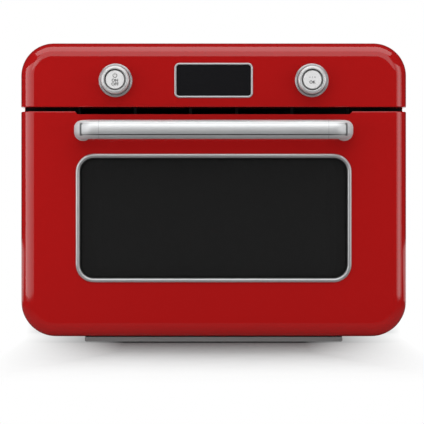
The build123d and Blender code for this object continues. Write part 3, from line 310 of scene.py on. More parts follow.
def draw_edges(w: Wiring, given: dict) -> Looks:
    """Where an edge has been rubbed: the normal there differs from its rounded one.

    Args:
        w: The group's wiring.
        given: The group's inputs by name.

    Returns:
        The group's outputs by name.
    """
    rounded = w.put("ShaderNodeBevel", {"Radius": given["Radius"]}, samples=4).outputs[0]
    plain = w.put("ShaderNodeNewGeometry").outputs["Normal"]
    dot = w.put("ShaderNodeVectorMath", {0: rounded, 1: plain}, operation="DOT_PRODUCT").outputs["Value"]
    broken = w.ramp(grown(w, given, 1, 4.0, 0.7), 0.35, 0.65, 0.25, 1.0)
    return {"Mask": w.sum("MULTIPLY", w.ramp(dot, 0.97, 0.8, 0.0, 1.0), broken)}


def draw_turning(w: Wiring, given: dict) -> Looks:
    """The fine rings that a lathe leaves, about an axis along Y through the vector's zero.

    Args:
        w: The group's wiring.
        given: The group's inputs by name.

    Returns:
        The group's outputs by name.
    """
    parts = w.parts(given["Vector"])
    radius = w.sum("SQRT", w.sum("ADD", *(w.sum("MULTIPLY", parts[i], parts[i]) for i in (0, 2))))
    line = w.put("ShaderNodeCombineXYZ", {0: radius, 1: parts[1]}).outputs[0]
    rings = w.noise(line, given["Scale"], 4.0, 0.7)
    return {"Streak": w.ramp(rings, 0.3, 0.7, 0.0, 1.0), "Height": rings}


TONE = SharedEffect("tone_drift", 8.0, ("Colour",), draw_tone,
                    (("Colour", "Color", PAPER_WHITE), ("Amount", "Float", 0.05)))
BRUSHING = SharedEffect("brushed_grain", 900.0, ("Streak", "Height"), draw_brushing)
PEEL = SharedEffect("enamel_waviness", 420.0, ("Height",), draw_peel)
SPANGLE = SharedEffect("zinc_crystals", 90.0, ("Tone", "Height"), draw_spangle)
MOULDING = SharedEffect("moulded_texture", 2200.0, ("Height", "Grit"), draw_moulding)
MARKS = SharedEffect("wiping_marks", 14.0, ("Mask",), draw_marks)
EDGES = SharedEffect("rubbed_edges", 260.0, ("Mask",), draw_edges, (("Radius", "Float", 0.0006),))
TURNING = SharedEffect("lathe_rings", 2600.0, ("Streak", "Height"), draw_turning)


# Finishes


@dataclass(frozen=True)
class Finish:
    """What every finish has."""

    name: str
    colour: Colour
    roughness: float = 0.5

    @property
    def rgba(self) -> tuple[float, float, float, float]:
        """The colour with full alpha."""
        return (*self.colour, 1.0)

    def brighter(self, times: float, more: float) -> tuple[float, ...]:
        """The colour made brighter, with full alpha."""
        return (*(min(1.0, c * times + more) for c in self.colour), 1)

    def tone(self, w: Wiring, scale: float, amount: float) -> NodeSocket:
        """The colour with a faint drift."""
        return TONE.use(w, Colour=self.rgba, Scale=scale, Amount=amount)["Colour"]

    def dull(self, w: Wiring, mask: NodeSocket, less: float, more: float, low: float = 0.3,
             high: float = 0.7) -> NodeSocket:
        """A roughness from less below the finish's own to more above it, as a mask goes from low to high."""
        return w.ramp(mask, low, high, self.roughness - less, self.roughness + more)

    def material(self) -> Material:
        """The finish's material, made the first time it is asked for.

        Returns:
            The material.
        """
        found = bpy.data.materials.get(self.name)
        if found is None:
            found = bpy.data.materials.new(self.name)
            found.use_nodes = True
            w = Wiring(found.node_tree)
            shader = found.node_tree.nodes["Principled BSDF"]
            for label, value in self.paint(w).items():
                w.feed(shader.inputs[label], value)
        return found

    def paint(self, w: Wiring) -> Looks:
        """The shader's inputs by name; each kind of finish has its own."""
        raise NotImplementedError


@dataclass(frozen=True)
class Enamel(Finish):
    """Baked enamel with a clear glossy top."""

    coat: float = 0.9
    wave: float = 2.0e-6
    edge: float = 0.0018

    def paint(self, w: Wiring) -> Looks:
        """Colour drift, wiping marks in the gloss, a soft waviness and edges that the enamel rounds off.

        Args:
            w: The material's wiring.

        Returns:
            The shader's inputs by name.
        """
        rounded = w.put("ShaderNodeBevel", {"Radius": self.edge}, samples=6).outputs[0]
        marks = MARKS.use(w, Scale=9.0)["Mask"]
        return {"Base Color": self.tone(w, 7.0, 0.03), "Roughness": self.dull(w, marks, 0.0, 0.07, 0.0, 1.0),
                "Coat Weight": w.ramp(marks, 0.0, 1.0, self.coat, self.coat * 0.9),
                "Normal": w.bump(PEEL.use(w)["Height"], self.wave, rounded),
                "Coat Roughness": 0.05, "Coat IOR": 1.64, "Specular IOR Level": 0.02}


@dataclass(frozen=True)
class BrushedMetal(Finish):
    """Sheet or bar metal with a fine grain in one direction."""

    grain: Grain = Grain.ACROSS
    fineness: float = 1400.0
    depth: float = 3.0e-6
    swing: float = 0.12
    wear: float = 0.0
    metallic: float = 1.0

    def paint(self, w: Wiring) -> Looks:
        """Streaks in colour, roughness and height, with brighter rubbed edges.

        Args:
            w: The material's wiring.

        Returns:
            The shader's inputs by name.
        """
        streaks = BRUSHING.use(w, Vector=w.here(self.grain.value), Scale=self.fineness)
        shade = w.ramp(streaks["Streak"], 0.0, 1.0, 0.0, 0.16)
        colour = w.mix(shade, self.tone(w, 11.0, 0.05), (0.05, 0.05, 0.05, 1))
        if self.wear:
            worn = w.sum("MULTIPLY", EDGES.use(w)["Mask"], self.wear)
            colour = w.mix(worn, colour, self.brighter(1.5, 0.05))
        dull = self.dull(w, streaks["Streak"], self.swing / 2, self.swing / 2, 0.0, 1.0)
        dull = w.sum("MULTIPLY_ADD", MARKS.use(w, Scale=16.0)["Mask"], 0.05, dull)
        return {"Base Color": colour, "Roughness": dull, "Normal": w.bump(streaks["Height"], self.depth),
                "Metallic": self.metallic}


@dataclass(frozen=True)
class GripMetal(BrushedMetal):
    """The handle's satin metal, softly crowned, with joints near its ends and a line round its face."""

    middle_z: float = 0.2707
    crown: float = 0.13
    crown_start: float = 0.0024
    joint_x: float = 0.144
    joint_half: float = 0.0003
    face_half_z: float = 0.0069
    face_half_x: float = 0.1668
    parting_half: float = 0.0006
    corner: float = 0.002

    def groove_and_shade(self, w: Wiring, side: NodeSocket, rise: NodeSocket) -> NodeSocket:
        """How deep and how dark the joints and the parting line are, with painted shade on the line's lower
        edge and curled ends.

        Args:
            w: The material's wiring.
            side: The distance from the handle's middle along X.
            rise: The height above the handle's axis.

        Returns:
            The depth and darkness, painted shade included, from 0 to 1.
        """
        joint = w.sum("ABSOLUTE", w.sum("SUBTRACT", side, self.joint_x))
        joint = w.ramp(joint, self.joint_half * 0.6, self.joint_half * 1.4, 0.3, 0.0)
        over = w.sum("SUBTRACT", w.sum("ABSOLUTE", rise), self.face_half_z)
        past = w.sum("SUBTRACT", side, self.face_half_x)
        edge = w.sum("ABSOLUTE", w.sum("SMOOTH_MAX", over, past, self.corner))
        nose_start, nose_end = self.face_half_x - 0.004, self.face_half_x - 0.001
        nose = w.ramp(side, nose_start, nose_end, 0.0, 1.0)
        half = w.sum("MULTIPLY_ADD", nose, self.parting_half, self.parting_half)
        line = w.ramp(w.sum("DIVIDE", edge, half), 0.5, 1.5, 1.0, 0.0)
        # Painted shade: the parting line is darker along its lower edge than along its upper one, and darker
        # still at the curled ends.
        low = w.ramp(side, nose_start, self.joint_x, 0.5, 1.0)
        shade = w.ramp(rise, -self.face_half_z, self.face_half_z, low, 0.25)
        shade = w.sum("MAXIMUM", shade, w.sum("MULTIPLY", nose, 0.8))
        return w.sum("MAXIMUM", joint, w.sum("MULTIPLY", line, shade))

    def paint(self, w: Wiring) -> Looks:
        """Adds the crown's curve under the grain, dark grooves with painted shade on the parting line, and a
        duller skin where the ends curl back.

        Args:
            w: The material's wiring.

        Returns:
            The shader's inputs by name.
        """
        looks = super().paint(w)
        across, _, up = w.parts(w.here())
        side, rise = w.sum("ABSOLUTE", across), w.sum("SUBTRACT", up, self.middle_z)
        square = w.sum("MULTIPLY_ADD", rise, rise, self.crown_start ** 2)
        dome = w.bump(w.sum("MULTIPLY", w.sum("SQRT", square), -self.crown), 1.0)
        groove_and_shade = self.groove_and_shade(w, side, rise)
        sunk = w.bump(w.sum("MULTIPLY", groove_and_shade, -1.0), 2.0e-5, dome)
        w.feed(looks["Normal"].node.inputs["Normal"], sunk)
        curl = w.ramp(side, self.face_half_x - 0.012, self.face_half_x - 0.004, 0.0, 0.28)
        # The grooves darken the colour, including the painted shade on the parting line.
        return {**looks, "Base Color": w.mix(groove_and_shade, looks["Base Color"], (0.02, 0.02, 0.02, 1)),
                "Roughness": w.sum("ADD", looks["Roughness"], curl)}


@dataclass(frozen=True)
class TurnedMetal(Finish):
    """Metal turned on a lathe about an axis along Y through a given centre."""

    centre: Point = (0.0, 0.0)
    metallic: float = 1.0
    depth: float = 2.0e-6

    def paint(self, w: Wiring) -> Looks:
        """Fine rings in roughness and height.

        Args:
            w: The material's wiring.

        Returns:
            The shader's inputs by name.
        """
        place = w.here(shift=(-self.centre[0], 0.0, -self.centre[1]))
        rings = TURNING.use(w, Vector=place)
        tone = TONE.use(w, Vector=place, Colour=self.rgba, Scale=30.0, Amount=0.05)["Colour"]
        shade = w.ramp(rings["Streak"], 0.0, 1.0, 0.0, 0.1)
        return {"Base Color": w.mix(shade, tone, (0.1, 0.1, 0.1, 1)),
                "Roughness": self.dull(w, rings["Streak"], 0.05, 0.05, 0.0, 1.0),
                "Normal": w.bump(rings["Height"], self.depth), "Metallic": self.metallic}


@dataclass(frozen=True)
class ZincSheet(Finish):
    """Galvanised sheet with its crystals."""

    def paint(self, w: Wiring) -> Looks:
        """Crystal by crystal changes of tone and sheen, with bare cut edges.

        Args:
            w: The material's wiring.

        Returns:
            The shader's inputs by name.
        """
        crystals = SPANGLE.use(w)
        grey = w.grey(w.ramp(crystals["Tone"], 0.1, 0.9, 0.72, 1.12))
        bare = w.sum("MULTIPLY", EDGES.use(w)["Mask"], 0.5)
        return {"Base Color": w.mix(bare, w.mix(1.0, self.rgba, grey, "MULTIPLY"), (0.66, 0.66, 0.66, 1)),
                "Roughness": self.dull(w, crystals["Tone"], 0.1, 0.12, 0.1, 0.9),
                "Normal": w.bump(crystals["Height"], 4.0e-6), "Metallic": 1.0}


@dataclass(frozen=True)
class CastMetal(Finish):
    """Die-cast metal with a dull grainy skin."""

    def paint(self, w: Wiring) -> Looks:
        """Mottled tone, rubbed edges and a pitted skin.

        Args:
            w: The material's wiring.

        Returns:
            The shader's inputs by name.
        """
        skin = MOULDING.use(w, Scale=900.0)
        worn = w.sum("MULTIPLY", EDGES.use(w)["Mask"], 0.4)
        return {"Base Color": w.mix(worn, self.tone(w, 45.0, 0.18), (0.75, 0.75, 0.76, 1)),
                "Roughness": self.dull(w, skin["Grit"], 0.1, 0.1),
                "Normal": w.bump(skin["Height"], 2.5e-5), "Metallic": 0.9}


@dataclass(frozen=True)
class HeaterSteel(Finish):
    """Heater tube that has been glowing: brown and blue temper colours over grey scale."""

    def paint(self, w: Wiring) -> Looks:
        """Temper colours in broad bands, with a dry oxide skin.

        Args:
            w: The material's wiring.

        Returns:
            The shader's inputs by name.
        """
        heat = w.ramp(w.noise(w.here(), 16.0), 0.35, 0.65, 0.0, 1.0)
        tint = w.mix(heat, (0.20, 0.13, 0.08, 1), (0.09, 0.10, 0.15, 1))
        skin = MOULDING.use(w, Scale=1500.0)
        return {"Base Color": w.mix(0.45, self.tone(w, 60.0, 0.3), tint),
                "Roughness": self.dull(w, skin["Grit"], 0.12, 0.12),
                "Normal": w.bump(skin["Height"], 1.2e-5), "Metallic": 0.85}


@dataclass(frozen=True)
class Moulded(Finish):
    """Injection moulded plastic."""

    texture: float = 2200.0
    depth: float = 8.0e-6
    amount: float = 0.06

    def paint(self, w: Wiring) -> Looks:
        """The mould's fine texture, with faint drift in tone and sheen.

        Args:
            w: The material's wiring.

        Returns:
            The shader's inputs by name.
        """
        skin = MOULDING.use(w, Scale=self.texture)
        marks = MARKS.use(w, Scale=20.0)["Mask"]
        dull = w.sum("MULTIPLY_ADD", marks, -0.06, self.dull(w, skin["Grit"], 0.05, 0.05))
        return {"Base Color": self.tone(w, 18.0, self.amount), "Roughness": dull,
                "Normal": w.bump(skin["Height"], self.depth)}


@dataclass(frozen=True)
class Rubber(Finish):
    """Silicone or rubber with a bloom of fine powder."""

    bloom: float = 0.12

    def paint(self, w: Wiring) -> Looks:
        """A powdery bloom in patches over a soft dull skin.

        Args:
            w: The material's wiring.

        Returns:
            The shader's inputs by name.
        """
        powder = w.sum("MULTIPLY", MARKS.use(w, Scale=40.0)["Mask"], self.bloom)
        skin = MOULDING.use(w, Scale=1300.0)
        return {"Base Color": w.mix(powder, self.rgba, self.brighter(1.4, 0.04)),
                "Roughness": self.dull(w, skin["Grit"], 0.06, 0.08),
                "Normal": w.bump(skin["Height"], 1.0e-5), "Sheen Weight": 0.05}


@dataclass(frozen=True)
class TintedGlass(Finish):
    """Glass that is see-through by its alpha, with wiping marks in its gloss."""

    alpha: float = 0.9

    def paint(self, w: Wiring) -> Looks:
        """A dark even tint that lets a little light through.

        Args:
            w: The material's wiring.

        Returns:
            The shader's inputs by name.
        """
        marks = MARKS.use(w, Scale=7.0)["Mask"]
        return {"Base Color": self.tone(w, 5.0, 0.06), "Roughness": self.dull(w, marks, 0.0, 0.05, 0.0, 1.0),
                "Alpha": w.ramp(marks, 0.0, 1.0, self.alpha, min(1.0, self.alpha + 0.01)),
                "Normal": w.bump(PEEL.use(w, Scale=60.0)["Height"], 1.0e-6)}


@dataclass(frozen=True)
class RimmedGlass(TintedGlass):
    """Dark glass printed black round its rim, a rounded rectangle in XZ with its middle at x 0."""

    middle_z: float = 0.0
    half: Point = (0.0, 0.0)
    corner: float = 0.0
    rim: float = 0.001

    def paint(self, w: Wiring) -> Looks:
        """Adds the rim as a black line just inside the glass's visible outline.

        Args:
            w: The material's wiring.

        Returns:
            The shader's inputs by name.
        """
        looks = super().paint(w)
        across, _, up = w.parts(w.here())
        offsets = (across, w.sum("SUBTRACT", up, self.middle_z))
        side, rise = (w.sum("SUBTRACT", w.sum("ABSOLUTE", offset), half - self.corner)
                      for offset, half in zip(offsets, self.half))
        past = {0: w.sum("MAXIMUM", side, 0.0), 1: w.sum("MAXIMUM", rise, 0.0)}
        outer = w.length(w.put("ShaderNodeCombineXYZ", past).outputs[0])
        away = w.sum("ADD", outer, w.sum("MINIMUM", w.sum("MAXIMUM", side, rise), 0.0))
        line = w.ramp(away, self.corner - self.rim, self.corner - self.rim * 0.7, 0.0, 1.0)
        return {**looks, "Base Color": w.mix(line, looks["Base Color"], (0.001, 0.001, 0.001, 1))}


@dataclass(frozen=True)
class ClearGlass(Finish):
    """Clear or frosted glass and clear plastic, with true transmission."""

    frost: float = 0.0

    def paint(self, w: Wiring) -> Looks:
        """Clear, with faint marks or a frosted skin.

        Args:
            w: The material's wiring.

        Returns:
            The shader's inputs by name.
        """
        marks = MARKS.use(w, Scale=12.0)["Mask"]
        skin = MOULDING.use(w, Scale=1600.0)
        return {"Base Color": self.tone(w, 15.0, 0.04), "Roughness": self.dull(w, marks, 0.0, 0.08, 0.0, 1.0),
                "Normal": w.bump(skin["Height"], 1.0e-6 + self.frost * 3.0e-5),
                "Transmission Weight": 1.0, "IOR": 1.49}


@dataclass(frozen=True)
class CircuitBoard(Finish):
    """Green solder mask over copper tracks."""

    def paint(self, w: Wiring) -> Looks:
        """Tracks as raised lines of lighter green, with pads of bare solder.

        Args:
            w: The material's wiring.

        Returns:
            The shader's inputs by name.
        """
        feeds = {"Vector": w.here(), "Scale": 190.0, "Randomness": 0.9}
        outer, inner = (w.put("ShaderNodeTexVoronoi", feeds, distance="CHEBYCHEV", feature=feature).outputs
                        for feature in ("F2", "F1"))
        gap = w.sum("SUBTRACT", outer["Distance"], inner["Distance"])
        track = w.ramp(gap, 0.10, 0.14, 1.0, 0.0)
        feeds = {"Vector": w.here(), "Scale": 260.0, "Randomness": 0.7}
        pad = w.ramp(w.put("ShaderNodeTexVoronoi", feeds).outputs["Distance"], 0.14, 0.17, 1.0, 0.0)
        red, green, blue = self.colour
        board = w.mix(track, self.rgba, (red * 1.6, green * 1.7, blue * 1.6, 1))
        return {"Base Color": w.mix(pad, board, (0.55, 0.56, 0.57, 1)), "Metallic": pad,
                "Roughness": w.ramp(pad, 0.0, 1.0, self.roughness, 0.3), "Normal": w.bump(track, 4.0e-5)}


@dataclass(frozen=True)
class MineralWool(Finish):
    """Pale needled mineral fibre."""

    def paint(self, w: Wiring) -> Looks:
        """Matted fibres in two directions, darker and browner where they lie low.

        Args:
            w: The material's wiring.

        Returns:
            The shader's inputs by name.
        """
        mat = w.sum("MAXIMUM", w.noise(w.here((0.25, 1.0, 1.0)), 900.0, 5.0, 0.75),
                    w.noise(w.here((1.0, 0.25, 0.6)), 700.0, 5.0, 0.75))
        hollow = w.ramp(mat, 0.45, 0.75, 0.5, 0.0)
        return {"Base Color": w.mix(hollow, self.tone(w, 14.0, 0.14), (0.42, 0.38, 0.30, 1)),
                "Roughness": w.ramp(mat, 0.4, 0.8, 1.0, 0.85), "Normal": w.bump(mat, 6.0e-4),
                "Sheen Weight": 0.4}


@dataclass(frozen=True)
class Ink(Finish):
    """Pad-printed ink."""

    def paint(self, w: Wiring) -> Looks:
        """Ink that is a little thin in specks.

        Args:
            w: The material's wiring.

        Returns:
            The shader's inputs by name.
        """
        specks = w.noise(w.here(), 4000.0, 3.0)
        thin = w.ramp(specks, 0.45, 0.75, 0.0, 0.5)
        return {"Base Color": w.mix(thin, self.rgba, self.brighter(1.5, 0.02)),
                "Roughness": self.dull(w, specks, 0.05, 0.05), "Normal": w.bump(specks, 4.0e-6)}


def grey(value: float) -> Colour:
    """An even grey."""
    return (value, value, value)


CONTROL_Z = 0.3347
KNOB_LEFT, KNOB_RIGHT = (-0.125, CONTROL_Z), (0.125, CONTROL_Z)

SLOT_FINISHES: dict[str, Finish] = {
    f.name: f
    for f in (
        Enamel("red_enamel", (0.33, 0.0045, 0.0045), 0.4),
        ZincSheet("zinc_sheet", (0.42, 0.43, 0.44), 0.42),
        Enamel("black_enamel", (0.012, 0.012, 0.013), 0.45, coat=0.2),
        Moulded("grille_black", grey(0.010), 0.6),
        BrushedMetal("cavity_steel", grey(0.35), 0.34, wear=0.3),
        BrushedMetal("chrome_trim", (0.56, 0.56, 0.57), 0.34, fineness=2600.0, depth=1.0e-6, swing=0.05,
                     metallic=0.7),
        GripMetal("handle_metal", (0.76, 0.77, 0.78), 0.44, fineness=2600.0, depth=1.0e-6, swing=0.06,
                  metallic=0.7),
        TurnedMetal("knob_metal", grey(0.66), 0.42, metallic=0.6),
        Moulded("button_plastic", grey(0.60), 0.45, depth=3.0e-6, amount=0.02),
        RimmedGlass("display_glass", (0.008, 0.008, 0.009), 0.04, 0.97, CONTROL_Z, (0.0474, 0.0197), 0.0039),
        RimmedGlass("door_glass", grey(0.014), 0.03, 0.72, 0.1592, (0.1695, 0.0756), 0.0168, 0.0013),
        TintedGlass("clear_glass", (0.30, 0.33, 0.33), 0.02, alpha=0.12),
        Rubber("black_seal", grey(0.003), 0.7, bloom=0.05),
        Moulded("grey_plastic", grey(0.15), 0.5),
        Moulded("dark_plastic", (0.030, 0.030, 0.032), 0.48),
        ClearGlass("tank_plastic", (0.55, 0.60, 0.62), 0.12),
        CircuitBoard("board_green", (0.020, 0.130, 0.060), 0.35),
        MineralWool("blanket", (0.75, 0.75, 0.72), 0.95),
        HeaterSteel("heater_steel", (0.16, 0.15, 0.14), 0.48),
        BrushedMetal("steel_screws", grey(0.50), 0.3, swing=0.1),
        BrushedMetal("hinge_steel", (0.45, 0.45, 0.46), 0.36, grain=Grain.UPRIGHT, wear=0.5),
        BrushedMetal("rack_wire", (0.65, 0.65, 0.66), 0.2, grain=Grain.DEEP, depth=1.0e-6, swing=0.05),
        CastMetal("cast_aluminium", grey(0.50), 0.5),
        BrushedMetal("motor_steel", (0.30, 0.30, 0.31), 0.42, wear=0.4),
        Rubber("silicone_pipe", (0.60, 0.60, 0.58), 0.45, bloom=0.2),
        ClearGlass("lamp_glass", (0.90, 0.88, 0.80), 0.25, frost=1.0),
        Rubber("foot_rubber", grey(0.020), 0.75, bloom=0.3),
    )
}

NODE_FINISHES: dict[str, Finish] = {
    "left_knob_ring": TurnedMetal("left_knob_metal", grey(0.66), 0.42, KNOB_LEFT, 0.6),
    "right_knob_ring": TurnedMetal("right_knob_metal", grey(0.66), 0.42, KNOB_RIGHT, 0.6),
    # Painted shade: the cooling duct, zinc sheet in the record, is made near-black and matt so that the vent
    # seam in front of it shows dark.
    "cooling_duct": Moulded("duct_black", grey(0.008), 0.8),
}
LABEL_INK = Ink("label_ink", grey(0.02), 0.6)
CHIP_PLASTIC = Moulded("chip_plastic", (0.018, 0.018, 0.020), 0.4)


# Making meshes


def sealed(bm: BMesh) -> BMesh:
    """The same shape with its doubles merged and its normals outwards.

    Args:
        bm: The shape, which is changed.

    Returns:
        The same shape.
    """
    bmesh.ops.remove_doubles(bm, verts=bm.verts, dist=1e-7)
    bmesh.ops.recalc_face_normals(bm, faces=bm.faces)
    return bm


def lathe(profile: Sequence[Point], count: int = 32) -> BMesh:
    """Turns a profile about Z.

    Args:
        profile: Radius and height points, from one end of the skin to the other.
        count: How many steps go round.

    Returns:
        The turned shape.
    """
    bm = bmesh.new()
    angles = [2 * math.pi * i / count for i in range(count)]
    rings = [[bm.verts.new((radius * math.cos(a), radius * math.sin(a), height))
              for a in (angles if radius > 1e-9 else [0.0])] for radius, height in profile]
    for low, high in zip(rings, rings[1:]):
        for i in range(count):
            loop = [low[i % len(low)], low[(i + 1) % len(low)]]
            loop += [high[(i + 1) % len(high)], high[i % len(high)]]
            corners = list(dict.fromkeys(loop))
            if len(corners) > 2:
                bm.faces.new(corners)
    return sealed(bm)


def loft(rings: Sequence[Sequence[Sequence[float]]], closed: bool = False) -> BMesh:
    """Skins a row of rings of points.

    Args:
        rings: The rings, each with the same number of points.
        closed: True where the last ring joins the first; otherwise both ends are capped.

    Returns:
        The skinned shape.
    """
    bm = bmesh.new()
    rows = [[bm.verts.new(point) for point in ring] for ring in rings]
    for near, far in zip(rows, rows[1:] + rows[:1] if closed else rows[1:]):
        for corners in zip(near, near[1:] + near[:1], far[1:] + far[:1], far):
            bm.faces.new(corners)
    if not closed:
        for end in (rows[0], rows[-1]):
            bm.faces.new(end)
    return sealed(bm)


def prism(outline: Sequence[Point], y_front: float, y_back: float) -> BMesh:
    """A flat shape drawn in XZ, made solid along Y."""
    return loft([[(x, y, z) for x, z in outline] for y in (y_back, y_front)])


def rounded_frame(section: Sequence[Point], size: Point, radius: float, steps: int) -> BMesh:
    """Sweeps a closed section round a rounded rectangle in XZ.

    Args:
        section: Points of the section, as outward and Y offsets.
        size: The rectangle's whole size along X and Z.
        radius: Its corner radius.
        steps: How many steps each corner has.

    Returns:
        The swept frame.
    """
    rings = []
    for quarter, (sx, sz) in enumerate(((1, 1), (-1, 1), (-1, -1), (1, -1))):
        centre = Vector((sx * (size[0] / 2 - radius), 0, sz * (size[1] / 2 - radius)))
        for step in range(steps + 1):
            angle = math.pi / 2 * (quarter + step / steps)
            out = Vector((math.cos(angle), 0, math.sin(angle)))
            rings.append([centre + out * (radius + a) + Vector((0, b, 0)) for a, b in section])
    return loft(rings, closed=True)


def to_mesh(bm: BMesh, name: str) -> Mesh:
    """A mesh with a bmesh's contents; the bmesh is freed.

    Args:
        bm: The shape.
        name: The mesh's name.

    Returns:
        The mesh.
    """
    mesh = bpy.data.meshes.new(name)
    bm.to_mesh(mesh)
    bm.free()
    return mesh


def joined(parts: Sequence[BMesh | Mesh], name: str) -> Mesh:
    """Several shapes as one mesh; the given ones are removed.

    Args:
        parts: The shapes.
        name: The new mesh's name.

    Returns:
        One mesh with all of them.
    """
    whole = bmesh.new()
    for part in parts:
        mesh = to_mesh(part, "part") if isinstance(part, BMesh) else part
        whole.from_mesh(mesh)
        bpy.data.meshes.remove(mesh)
    return to_mesh(whole, name)


def shown(data: bpy.types.ID, name: str) -> Object:
    """A new object with a mesh, curve, light or camera, linked to the scene.

    Args:
        data: The mesh, curve, light or camera.
        name: The object's name.

    Returns:
        The object.
    """
    thing = bpy.data.objects.new(name, data)
    bpy.context.scene.collection.objects.link(thing)
    return thing


def evaluated(thing: Object, name: str) -> Mesh:
    """An object's mesh with its modifiers applied; the object is then removed.

    Args:
        thing: The object.
        name: The new mesh's name.

    Returns:
        The plain mesh.
    """
    bpy.context.view_layer.update()
    depsgraph = bpy.context.evaluated_depsgraph_get()
    mesh = bpy.data.meshes.new_from_object(thing.evaluated_get(depsgraph), depsgraph=depsgraph)
    mesh.name = name
    bpy.data.objects.remove(thing)
    return mesh


def islands(node: str) -> list[Box]:
    """The low and high corners of each loose part of a CAD node, from left to right.

    Args:
        node: The CAD node's name.

    Returns:
        The corners of each part.
    """
    bm = bmesh.new()
    bm.from_mesh(frame["nodes"][node].data)
    bmesh.ops.remove_doubles(bm, verts=bm.verts, dist=1e-6)
    left, found = set(bm.verts), []
    while left:
        group, front = set(), [left.pop()]
        while front:
            vert = front.pop()
            group.add(vert)
            near = {e.other_vert(vert) for e in vert.link_edges} & left
            left -= near
            front.extend(near)
        found.append(tuple(Vector([pick(v.co[i] for v in group) for i in range(3)]) for pick in (min, max)))
    bm.free()
    return sorted(found, key=lambda ends: (round(ends[0].x, 4), round(ends[0].z, 4), ends[0].y))


@dataclass
class Bench:
    """Turns finished meshes into pieces that ride on the CAD bodies."""

    made: list[str] = field(default_factory=list)

    def piece(self, name: str, mesh: Mesh, body: Body, slot: str | None, replaces: Sequence[str] = (),
              smooth: float = 40.0, finish: Finish | None = None) -> Object:
        """Makes one piece.

        Args:
            name: The piece's name.
            mesh: Its mesh, already in its place.
            body: The body that it rides on.
            slot: The record's material slot whose finish it takes where no finish is given.
            replaces: The CAD nodes that it stands for.
            smooth: The angle in degrees above which an edge stays sharp.
            finish: Its finish, where that isn't the slot's.

        Returns:
            The piece's object.
        """
        mesh.materials.clear()
        mesh.materials.append((finish or SLOT_FINISHES[slot]).material())
        mesh.shade_smooth()
        mesh.set_sharp_from_angle(angle=math.radians(smooth))
        thing = shown(mesh, name)
        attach(thing, body.value)
        if replaces:
            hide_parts(*replaces)
        self.made.append(name)
        log.info("%s: %d faces on %s", name, len(mesh.polygons), body.value)
        return thing


# Geometry Nodes


@dataclass(frozen=True)
class Repeater:
    """A Geometry Nodes tree with named inputs that ends in Realize Instances and Set Material."""

    name: str
    inputs: tuple[tuple[str, str, object], ...]
    draw: Callable[[Wiring, dict], NodeSocket]

    def tree(self) -> NodeTree:
        """The tree, made the first time it is asked for.

        Returns:
            The node tree.
        """
        found = bpy.data.node_groups.get(self.name)
        if found is not None:
            return found
        tree = bpy.data.node_groups.new(self.name, "GeometryNodeTree")
        every = (("Geometry", "Geometry", None), *self.inputs, ("Finish", "Material", None))
        for label, kind, default in every:
            socket = tree.interface.new_socket(label, in_out="INPUT", socket_type="NodeSocket" + kind)
            if default is not None:
                socket.default_value = default
        tree.interface.new_socket("Geometry", in_out="OUTPUT", socket_type="NodeSocketGeometry")
        w = Wiring(tree)
        given = {s.name: s for s in w.put("NodeGroupInput").outputs}
        real = w.put("GeometryNodeRealizeInstances", {0: self.draw(w, given)}).outputs[0]
        done = w.put("GeometryNodeSetMaterial", {"Geometry": real, "Material": given["Finish"]}).outputs[0]
        w.put("NodeGroupOutput", {0: done})
        return tree

    def run(self, finish: Finish, part: Mesh | None = None, spots: Sequence[Sequence[float]] = ((0, 0, 0),),
            **values: object) -> Mesh:
        """Runs the tree and gives its result as a plain mesh.

        Args:
            finish: The finish that the tree sets.
            part: The mesh that it repeats, if any.
            spots: The points that it starts from.
            **values: The tree's named inputs.

        Returns:
            The mesh.
        """
        points = bpy.data.meshes.new(self.name)
        points.from_pydata([tuple(s) for s in spots], [], [])
        carrier = shown(points, self.name)
        modifier = carrier.modifiers.new(self.name, "NODES")
        modifier.node_group = self.tree()
        values["Finish"] = finish.material()
        if part:
            values["Part"] = shown(part, "part")
        for item in modifier.node_group.interface.items_tree:
            if item.in_out == "INPUT" and item.name in values:
                modifier[item.identifier] = values[item.name]
        mesh = evaluated(carrier, self.name)
        if part:
            bpy.data.objects.remove(values["Part"])
        return mesh


def shared_part(w: Wiring, given: dict) -> NodeSocket:
    """The repeated part as one instance."""
    return w.put("GeometryNodeObjectInfo", {"Object": given["Part"], "As Instance": True}).outputs["Geometry"]


def draw_placed(w: Wiring, given: dict) -> NodeSocket:
    """The same part at each point, turned to face its way and then spun at random about its own axis.

    Args:
        w: The tree's wiring.
        given: The tree's inputs by name.

    Returns:
        The geometry.
    """
    turn = w.put("FunctionNodeEulerToRotation", {0: given["Turn"]}).outputs[0]
    feeds = {2: 0.0, 3: given["Spin"], "Seed": given["Seed"]}
    spin = w.put("FunctionNodeRandomValue", feeds, data_type="FLOAT").outputs[1]
    own = w.put("FunctionNodeAxisAngleToRotation", {"Axis": (0, 0, 1), "Angle": spin}).outputs[0]
    both = w.put("FunctionNodeRotateRotation", {0: turn, 1: own}, rotation_space="LOCAL").outputs[0]
    feeds = {"Points": given["Geometry"], "Instance": shared_part(w, given), "Rotation": both}
    return w.put("GeometryNodeInstanceOnPoints", feeds).outputs[0]


def draw_rows(w: Wiring, given: dict) -> NodeSocket:
    """The same part in columns and rows in XZ, some left out at random and each of a random size.

    Args:
        w: The tree's wiring.
        given: The tree's inputs by name.

    Returns:
        The geometry.
    """
    labels = {"Size X": "Width", "Size Y": "Height", "Vertices X": "Columns", "Vertices Y": "Rows"}
    grid = w.put("GeometryNodeMeshGrid", {a: given[b] for a, b in labels.items()}).outputs[0]
    upright = w.put("GeometryNodeTransform", {"Geometry": grid, "Rotation": (math.pi / 2, 0, 0)}).outputs[0]
    chance = w.put("FunctionNodeRandomValue", {"Probability": given["Share"], "Seed": given["Seed"]},
                   data_type="BOOLEAN").outputs[3]
    size = w.put("FunctionNodeRandomValue", {0: given["Smallest"], 1: (1, 1, 1), "Seed": given["Seed"]},
                 data_type="FLOAT_VECTOR").outputs[0]
    feeds = {"Points": upright, "Instance": shared_part(w, given), "Selection": chance, "Scale": size}
    return w.put("GeometryNodeInstanceOnPoints", feeds).outputs[0]


